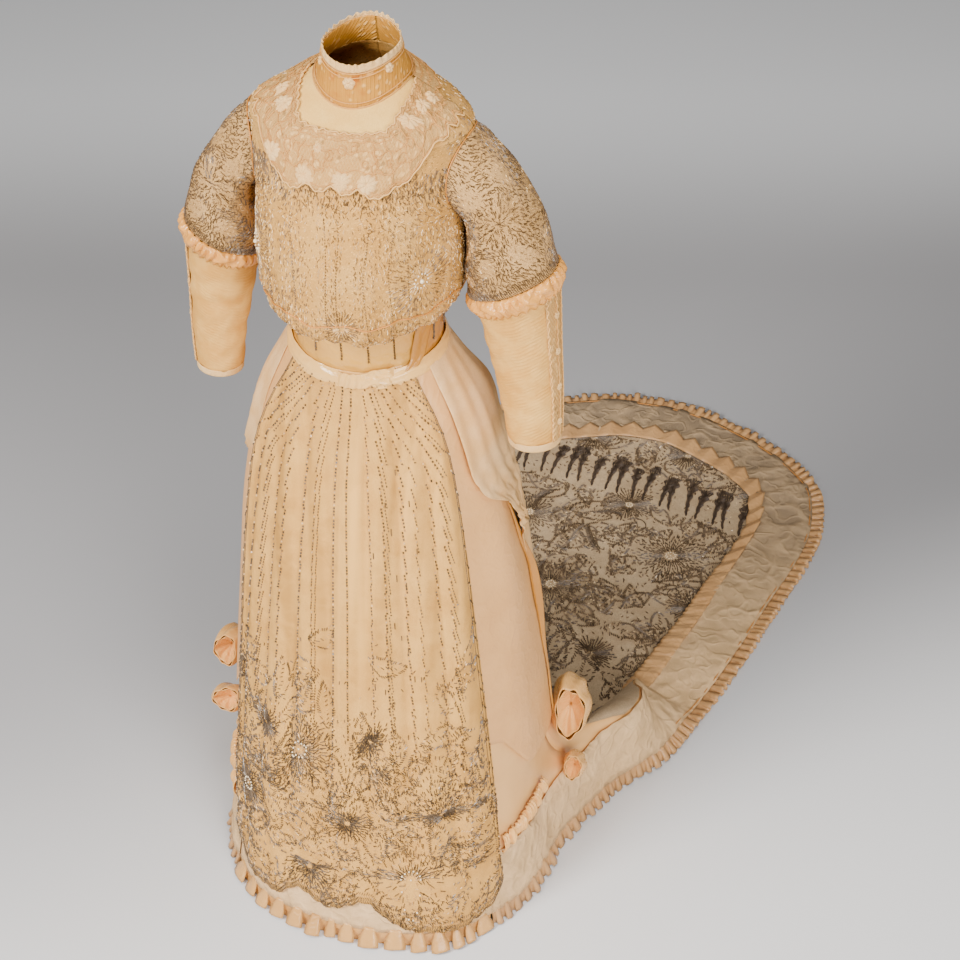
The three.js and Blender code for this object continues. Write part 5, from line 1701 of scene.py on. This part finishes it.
class GOWN_OT_drapes(bpy.types.Operator):
    """Drapes the beaded front panel, the satin side drapes with their turned facings, and the hip drapes"""
    bl_idname = "gown.drapes"
    bl_label = "Panel and drapes"

    def execute(self, context):
        panel = Cloth(over_skirt(panel_place), linspace(-1, 1, 101), steps(80), panel_folds, -1)
        sew("front_panel_net", panel, "panel_net")
        bead_panel(panel)
        for name, side in SIDES.items():
            side_drape(name, side)
            hip_drape(name, side)
        return {"FINISHED"}


def trumpets(part, start, stop, pitch, per, stages, depth, over, look, seed):
    """A pleated ribbon along a part of the hem: its run is cut into pleats of a given pitch, each a
    flat-topped fold that leans over its own foot, deeper towards the ribbon's free edge."""
    fine = linspace(start, stop, 1600)
    run = stepped(skirt(fine, 4))
    count = int(run[-1] / pitch)
    draw = np.random.default_rng(seed)
    widths = draw.uniform(0.6, 1.4, count)
    stops = concatenate([[0], np.cumsum(widths)]) / widths.sum() * run[-1]
    tall = draw.uniform(0.55, 1.2, count)
    k = np.repeat(arange(count), per)
    t = np.tile(linspace(0, 1, per, endpoint=False), count)
    bends_over = array([0, 0.4, -0.6, 0.6, -0.4, 0]) * over
    foot = interp(t, [0, 0.22, 0.34, 0.66, 0.78, 1], [0, 0.22, 0.34, 0.66, 0.78, 1] + bends_over)
    rise = interp(t, [0, 0.2, 0.36, 0.64, 0.8, 1], [0, 0, 1, 1, 0, 0]) * tall[k]
    rise = (np.roll(rise, 1) + rise * 2 + np.roll(rise, -1)) / 4
    straight, leant = (mix(stops[k], stops[k + 1], share) for share in (t, foot))

    def at(u, v):
        index = u.astype(int)
        place = mix(straight[index], leant[index], ease(v * 1.4))
        angle = interp(place, run, fine)
        inner, outer = skirt(angle, FRILL_STAGE - 0.03), skirt(angle, 4)
        ahead = skirt(angle + 0.3, 4) - skirt(angle - 0.3, 4)
        along = unit(outer - inner)
        out = unit(np.cross(along, ahead))
        height = 0.5 + rise[index] * depth * (0.15 + 0.85 * v)
        sway = 1.5 * sin(index * 0.9 + 3 * v) * v * v
        points = mix(inner, outer, (v * (1 - 0.05 * rise[index]))[..., None])
        points += out * height[..., None] + along * sway[..., None]
        points[..., 2] = np.maximum(points[..., 2], FLOOR + 0.4)
        return points
    ribbon = Cloth(at, arange(len(k)), linspace(0, 1, stages), 0.0, -1)
    sew(f"hem_frill_{part}_ribbon", ribbon, look,
        THIN, False)


def bead_train_back(cloth):
    """Beads over the train panel where it hangs: rows down it, flowers, fronds and leaves."""
    clear, grey, bugle, width = bead_kit()
    draw = np.random.default_rng(171)
    for k in range(25):
        x0 = -300 + k * 25
        y = arange(4, 1040, 10)
        x = x0 * (0.42 + 0.58 * np.minimum(1, y / 700)) + 2 * sin(y / 50 + k)
        rows = places(x, y)
        embroider(grey if k % 2 else clear, cloth, rows, 3.6, width * 1.1, 0.4, 500 + k)
    for k in range(12):
        x, y = -330 + (k * 131) % 680, 640 + (k * 83) % 420
        if k % 3 == 0:
            embroider(grey, cloth, daisy(x, y, 58, 12, 5.6, k), bugle, width, 0.3, 540 + k)
        else:
            rows = frond(x, y, draw.uniform(-2.4, -0.7), draw.uniform(60, 110), 10, 5.6, draw.uniform(-1, 1))
            embroider(grey, cloth, rows, bugle, width, 0.35, 540 + k)
    rows = leaves(640, 420, 1180, 65, (), lambda y: (y - 420) / 400, 172, 0.1)
    embroider(grey, cloth, rows[cloth.find(rows[:, 0], rows[:, 1])[1] < 35], 8.0, 2.6, 0.3, 174)
    clear.make("train_back_beads_clear", "train_glints", "train_net")
    grey.make("train_back_beads_grey", "train_beads", "train_net")


def bead_train():
    """Beads over the train panel where it lies on the floor: flowers, leaves, tendrils and plumes."""
    clear, grey = Beads(), Beads()
    angles = linspace(TRAIN_EDGE, 360 - TRAIN_EDGE, 200)
    _, _, landing, inner, _ = bends(angles)
    outline = concatenate([inner, landing[::-1]])[:, :2]

    def inside(x, y):
        """Whether a place lies in the panel's outline, by counting the edges that a line from it crosses."""
        ax, ay = outline.T
        bx, by = np.roll(outline, -1, 0).T
        x, y = x[:, None], y[:, None]
        cross = ((ay > y) != (by > y)) & (x < (bx - ax) * (y - ay) / where(by == ay, 1e-9, by - ay) + ax)
        return cross.sum(1) % 2 == 1

    def lay(bag, rows, length, wide, tone, seed):
        """Adds those rows of floor places that the panel covers to a bag as beads lying on the cloth."""
        draw = np.random.default_rng(seed)
        rows = rows[inside(rows[:, 0], rows[:, 1])]
        x, y, heading = rows.T
        spot = xyz(x, y, FLOOR)
        spot[:, 2] += rumple(spot, full(len(x), 2.5)) + 0.3 + LAID + 0.6
        along = xyz(cos(heading), sin(heading), 0 * x)
        size = length * draw.uniform(0.8, 1.15, len(x))
        bag.add(spot, along, np.broadcast_to(UPWARD, spot.shape), size, wide,
                np.clip(tone + draw.normal(0, 0.18, len(x)), 0, 1))
    draw = np.random.default_rng(181)
    for k, (x, y, radius, petals) in enumerate(TRAIN_FLOWERS):
        lay(grey, rosette(x, y, radius, petals, 0.5 * k), 6.5, 2.4, 0.2, 600 + k)
        lay(clear, daisy(x, y, radius * 0.3, 6, 5.0, k, False), 3.0, 1.6, 0.4, 640 + k)
    beside, below = TRAIN_MIDDLE
    blooms = [(x - beside, y - below, radius, petals) for x, y, radius, petals in TRAIN_FLOWERS]
    rows = leaves(510, -460, 460, 39, blooms, lambda y: 1, 183, 0.25)
    rows[:, :2] += TRAIN_MIDDLE
    band = 1050 - 110 * (np.clip(rows[:, 0] + 60, 0, 530) / 530) ** 1.6
    rows = rows[(abs(rows[:, 1] - band) > 52) | (draw.random(len(rows)) < 0.1)]
    pick = draw.random(len(rows)) < 0.14
    lay(grey, rows[~pick], 6.0, 2.2, 0.3, 650)
    lay(clear, rows[pick], 2.8, 1.8, 0.5, 651)
    for k in range(16):
        x, y = draw.uniform(-330, 640), draw.uniform(330, 1200)
        if k % 2:
            rows = scroll(x, y, draw.uniform(16, 30), 1.3, 4.0, k, 1 - 2 * (k % 2))
        else:
            rows = frond(x, y, draw.uniform(0, 6.2), draw.uniform(50, 90), 8, 4.2, draw.uniform(-1.5, 1.5))
        lay(grey, rows, 5.5, 2.1, 0.12, 660 + k)
    plume = Beads()
    for k in range(27):
        x0 = -260 + k * 29.5 + 5 * math.sin(k * 2.9)
        y0 = 1056 - 110 * (max(0, x0 + 60) / 530) ** 1.6 - 52
        t = steps(36)
        lean = 1.66 - 0.22 * t + 0.08 * math.sin(k * 1.7)
        reach = 112 + 14 * math.sin(k * 2.3)
        px, py = x0 + np.cumsum(cos(lean)) * reach / 36, y0 + np.cumsum(sin(lean)) * reach / 36
        barb = 1.2 + 6.5 * ease((t - 0.35) / 0.5) * (1 + 0.45 * sin(26 * t + k))
        for hand in (-1, -0.45, 0, 0.45, 1):
            off = hand * barb
            rows = places(px + off * sin(lean), py - off * cos(lean), lean - hand * 0.75 + 0.35 * sin(23 * t))
            lay(plume, rows if abs(hand) < 0.5 else rows[8:], 7.5, 2.6, 0.3, 800 + k)
    scatter = places(draw.uniform(-330, 660, 500), draw.uniform(300, 1250, 500), draw.uniform(0, 3.1, 500))
    lay(clear, scatter, 2.4, 1.5, 0.7, 900)
    clear.make("train_beads_clear", "train_glints", "train_net")
    grey.make("train_beads_grey", "train_beads", "train_net")
    plume.make("train_plume_beads", "plume_beads", "train_net")
    spots = []
    turn = np.append(arange(11) * 2 * pi / 11, 0)
    for x, y, radius, _ in TRAIN_FLOWERS[:6]:
        reach = np.append(full(11, radius * 0.13), 0)
        spots.append(stack([x + reach * cos(turn), y + reach * sin(turn)], 1))
    spots = concatenate(spots)
    spots = spots[inside(*spots.T)]
    spots = xyz(spots[:, 0], spots[:, 1], FLOOR + LAID + 1)
    spots[:, 2] += rumple(spots, full(len(spots), 2.5))
    radius = full(len(spots), sizes().pearl / MM * 0.5)
    pearls("train_pearls", spots, np.broadcast_to(UPWARD, spots.shape), radius, "train_net")


def train_frill():
    """The folded ribbon along the edge of the train panel."""
    fine = linspace(109, 251, 1200)
    run = stepped(skirt(fine, 3))
    count = int(run[-1] / 46)

    def at(u, v):
        """A ribbon folded in triangles: its outer edge rises and falls with each fold."""
        place = u / (count * 12) * run[-1]
        angle = interp(place, run, fine)
        folded = ease((angle - 126) / 14)
        spot = skirt(angle, 3)
        outward = unit(skirt(angle, 3.2) - skirt(angle, 2.9))
        zigzag = folded * abs((u / 12 % 1) * 2 - 1)
        points = spot + outward * (mix(-24.0, 20.0, v) - 10 * (v - 0.5) * folded)[..., None]
        points += outward * (zigzag * 11 * (v - 0.4))[..., None]
        ruffled = 2.5 * sin(pi * v) + 1.5 * sin(u * 0.7 + 2 * v)
        ruffled += 3.0 * abs(v - 0.5) * (1 + sin(u * 1.9 + sin(u * 0.3)))
        rise = rumple(spot, full(spot.shape[:2], 3.0)) + (3 + 9 * v) * zigzag + (1 - folded) * ruffled
        points[..., 2] = FLOOR + LAID * 2 + 3 + rise
        return points
    ribbon = Cloth(at, arange(count * 12 + 1), steps(6), 0.0, -1)
    sew("train_inner_frill_ribbon", ribbon, "train_ribbon",
        THIN)


class GOWN_OT_train(bpy.types.Operator):
    """Lays the beaded train panel and its inner frill"""
    bl_idname = "gown.train"
    bl_label = "Train"

    def execute(self, context):
        down = concatenate([steps(24), linspace(1, 2, 12)[1:], linspace(2, 3, 38)[1:]])
        at = lying(lambda a, s: (a, np.maximum(s, under_belt(a))))
        panel = Cloth(at, linspace(TRAIN_EDGE, 360 - TRAIN_EDGE, 95), down, LAID + 0.6, -1)
        sew("train_panel_net", panel, "train_net")
        bead_train_back(panel)
        bead_train()
        train_frill()
        return {"FINISHED"}


class GOWN_OT_hem(bpy.types.Operator):
    """Sews the puckered border and the pleated frill round the hem and the train, and the skirt's ruches"""
    bl_idname = "gown.hem"
    bl_label = "Border and frills"

    def execute(self, context):
        def puckers(angle, stage):
            """Swells and two sizes of creases, deeper where the border lies flat."""
            line = hem_line(angle)
            x, y = line[..., 0] / 60, line[..., 1] / 60
            across = (stage - 3) * 2.3
            flat_share = ease((abs(angle) - 80) / 25)
            swells = 1 + waves(x + 0.3 * across, y - 0.3 * across, 191, 0.5, 1.3)
            large = creases(x * 1.8, y * 1.8 + 0.5 * across, 192, low=0.5, high=1.4)
            small = creases(x * 4, y * 4 + 0.8 * across, 193, low=0.5, high=1.4)
            return (LAID + 0.5 + mix(0.5, 1.4, flat_share) * swells
                    + mix(1.0, 3.6, flat_share) * large + mix(0.3, 1.6, flat_share) * small)
        for name, start, stop, count, under in (
            ("front", -GORE_EDGE, GORE_EDGE, 71, "skirt_front_cloth"),
            ("train", GORE_EDGE, 360 - GORE_EDGE, 340, "skirt_back_left_cloth"),
        ):
            down = linspace(3, FRILL_STAGE + 0.02, 10)
            border = Cloth(lying(plain), linspace(start, stop, count), down, puckers, -1)
            sew(f"hem_border_{name}_net", border, "border_net")
        front, train = sizes().front_pleat / MM, sizes().train_pleat / MM
        trumpets("front", -GORE_EDGE, GORE_EDGE, front, 14, 8, 20, 0.45, "frill_satin", 201)
        fine = full_turn(399)
        seam = lying(plain)(fine[None], full((1, len(fine)), FRILL_STAGE - 0.01))[0]
        line = seam + UPWARD * (LAID + 3.2), np.broadcast_to(UPWARD, seam.shape)
        tube("frill_seam_thread", [line], 1.1, "facing_satin", 4, True)
        trumpets("train", GORE_EDGE, 360 - GORE_EDGE, train, 8, 5, 12, 0.35, "train_ribbon", 202)
        for name, side in SIDES.items():
            sign = side["sign"]

            def bunch(u):
                """Uneven bunches: the size of a sine, to a power."""
                return abs(sin(u * 0.62 + 0.6 * sin(u * 0.9))) ** 0.7

            def at(u, v, sign=sign):
                """The skirt along the ruche's line, whose width follows its bunches."""
                stage = through(RUCHE_LINE["angle"], RUCHE_LINE["stage"], u)
                spot = skirt(sign * u, stage)
                along = unit(skirt(sign * u, stage + 0.02) - skirt(sign * u, stage - 0.02))
                return spot + along * (v * (0.5 + 0.6 * bunch(u)))[..., None]

            def puffs(u, v):
                """A bulge across the ribbon, higher in each bunch, with crushed and frilled edges."""
                bulge = 1.5 + 11 * bunch(u) + 2.0 * abs(sin(u * 5.1 + v * 0.2))
                frilled = 2.0 * cos(u * 5.3) * (v / 12) ** 2
                return 4 + (1 - (v / 15) ** 2) ** 0.6 * bulge + frilled
            ruche = Cloth(at, linspace(58, 86, 171), linspace(-14, 14, 11), puffs, -sign)
            sew(f"skirt_ruche_{name}_ribbon", ruche, "bow_satin",
                RIBBON_THICK)
        return {"FINISHED"}


class GOWN_OT_bows(bpy.types.Operator):
    """Folds the satin loops that finish the side drapes"""
    bl_idname = "gown.bows"
    bl_label = "Bow loops"

    def execute(self, context):
        for name, (angle, z, stand, tall, deep, length, lean) in LOOPS.items():
            sign = 1 if angle > 0 else -1
            a, level = array([[float(angle)]]), array([[float(z)]])
            stage = stage_at(a, level)
            across, down = array([[-0.5], [0], [0.5]]), array([[-0.01, 0, 0.01]])
            out = -normals(skirt(a + across, stage + down))[1, 1]
            flat = unit(out * [1, 1, 0])
            around = array([flat[1], -flat[0], 0]) * sign
            c, s = circle(sign * lean)
            around = around * c + np.cross(flat, around) * s
            up = np.cross(flat, around)
            centre = fall(a, level)[0, 0] + flat * stand

            def at(turn, share):
                """A tube that swells along its length, with rucks in its rim and a squashed mouth."""
                c, s = circle(turn)
                turn = radians(turn)
                belly = 0.55 + 0.45 * sin(pi * (0.25 + 0.6 * share))
                belly = belly * (1 + 0.05 * sin(turn * 7 + share * 4) + 0.07 * sin(turn * 3 + 2 * share))
                along = (share - 0.5) * length * (1 + 0.08 * sin(turn * 2))
                squash = 1 - 0.35 * (1 - share) * s**2
                return (centre + around * along[..., None] + flat * (c * deep * belly)[..., None]
                        + up * (s * tall * belly * squash)[..., None])
            loop = Cloth(at, linspace(0, 360, 73)[:-1], steps(21), 0.0, -1, True)

            def inner(turn, share):
                """The ribbon drawn in to the knot from both mouths: an hourglass, folded along."""
                away = abs(share * 2 - 1)
                folds = 1 + 0.13 * sin(radians(turn) * 7 + 1.5 * share) * sin(pi * away) ** 0.5
                reach = (0.03 + 0.89 * away ** 0.75) * folds
                middle = centre + around * ((share - 0.5) * length)[..., None]
                return middle + (at(turn, share) - middle) * reach[..., None]
            fold = Cloth(inner, linspace(0, 360, 85)[:-1], linspace(0.03, 0.97, 25), 0.0, -1, True)
            sew(f"bow_fold_{name}_ribbon", fold, "bow_satin",
                THIN, extra=True)
            sew(f"bow_loop_{name}_ribbon", loop, "bow_satin",
                0.9)
        return {"FINISHED"}


PIECES = (
    GOWN_OT_stage, GOWN_OT_skirt, GOWN_OT_waist, GOWN_OT_bodice, GOWN_OT_neck, GOWN_OT_sleeves,
    GOWN_OT_drapes, GOWN_OT_train, GOWN_OT_hem, GOWN_OT_bows,
)


class GOWN_PT_panel(bpy.types.Panel):
    """The gown's pieces and sizes in the 3D view's sidebar"""
    bl_idname = "GOWN_PT_panel"
    bl_label = "Trained gown"
    bl_space_type = "VIEW_3D"
    bl_region_type = "UI"
    bl_category = "Gown"

    def draw(self, context):
        for group in (context.scene.gown_sizes, context.scene.gown_colours):
            for name in group.__annotations__:
                self.layout.prop(group, name)
        for piece in PIECES:
            self.layout.operator(piece.bl_idname)


def register():
    for kind in (GownSizes, GownColours, *PIECES, GOWN_PT_panel):
        bpy.utils.register_class(kind)
    bpy.types.Scene.gown_sizes = bpy.props.PointerProperty(type=GownSizes)
    bpy.types.Scene.gown_colours = bpy.props.PointerProperty(type=GownColours)


def unregister():
    del bpy.types.Scene.gown_sizes, bpy.types.Scene.gown_colours
    for kind in (GOWN_PT_panel, *reversed(PIECES), GownColours, GownSizes):
        bpy.utils.unregister_class(kind)


def main():
    register()
    for piece in PIECES:
        getattr(bpy.ops.gown, piece.bl_idname.split(".")[1])()


if __name__ == "__main__":
    main()
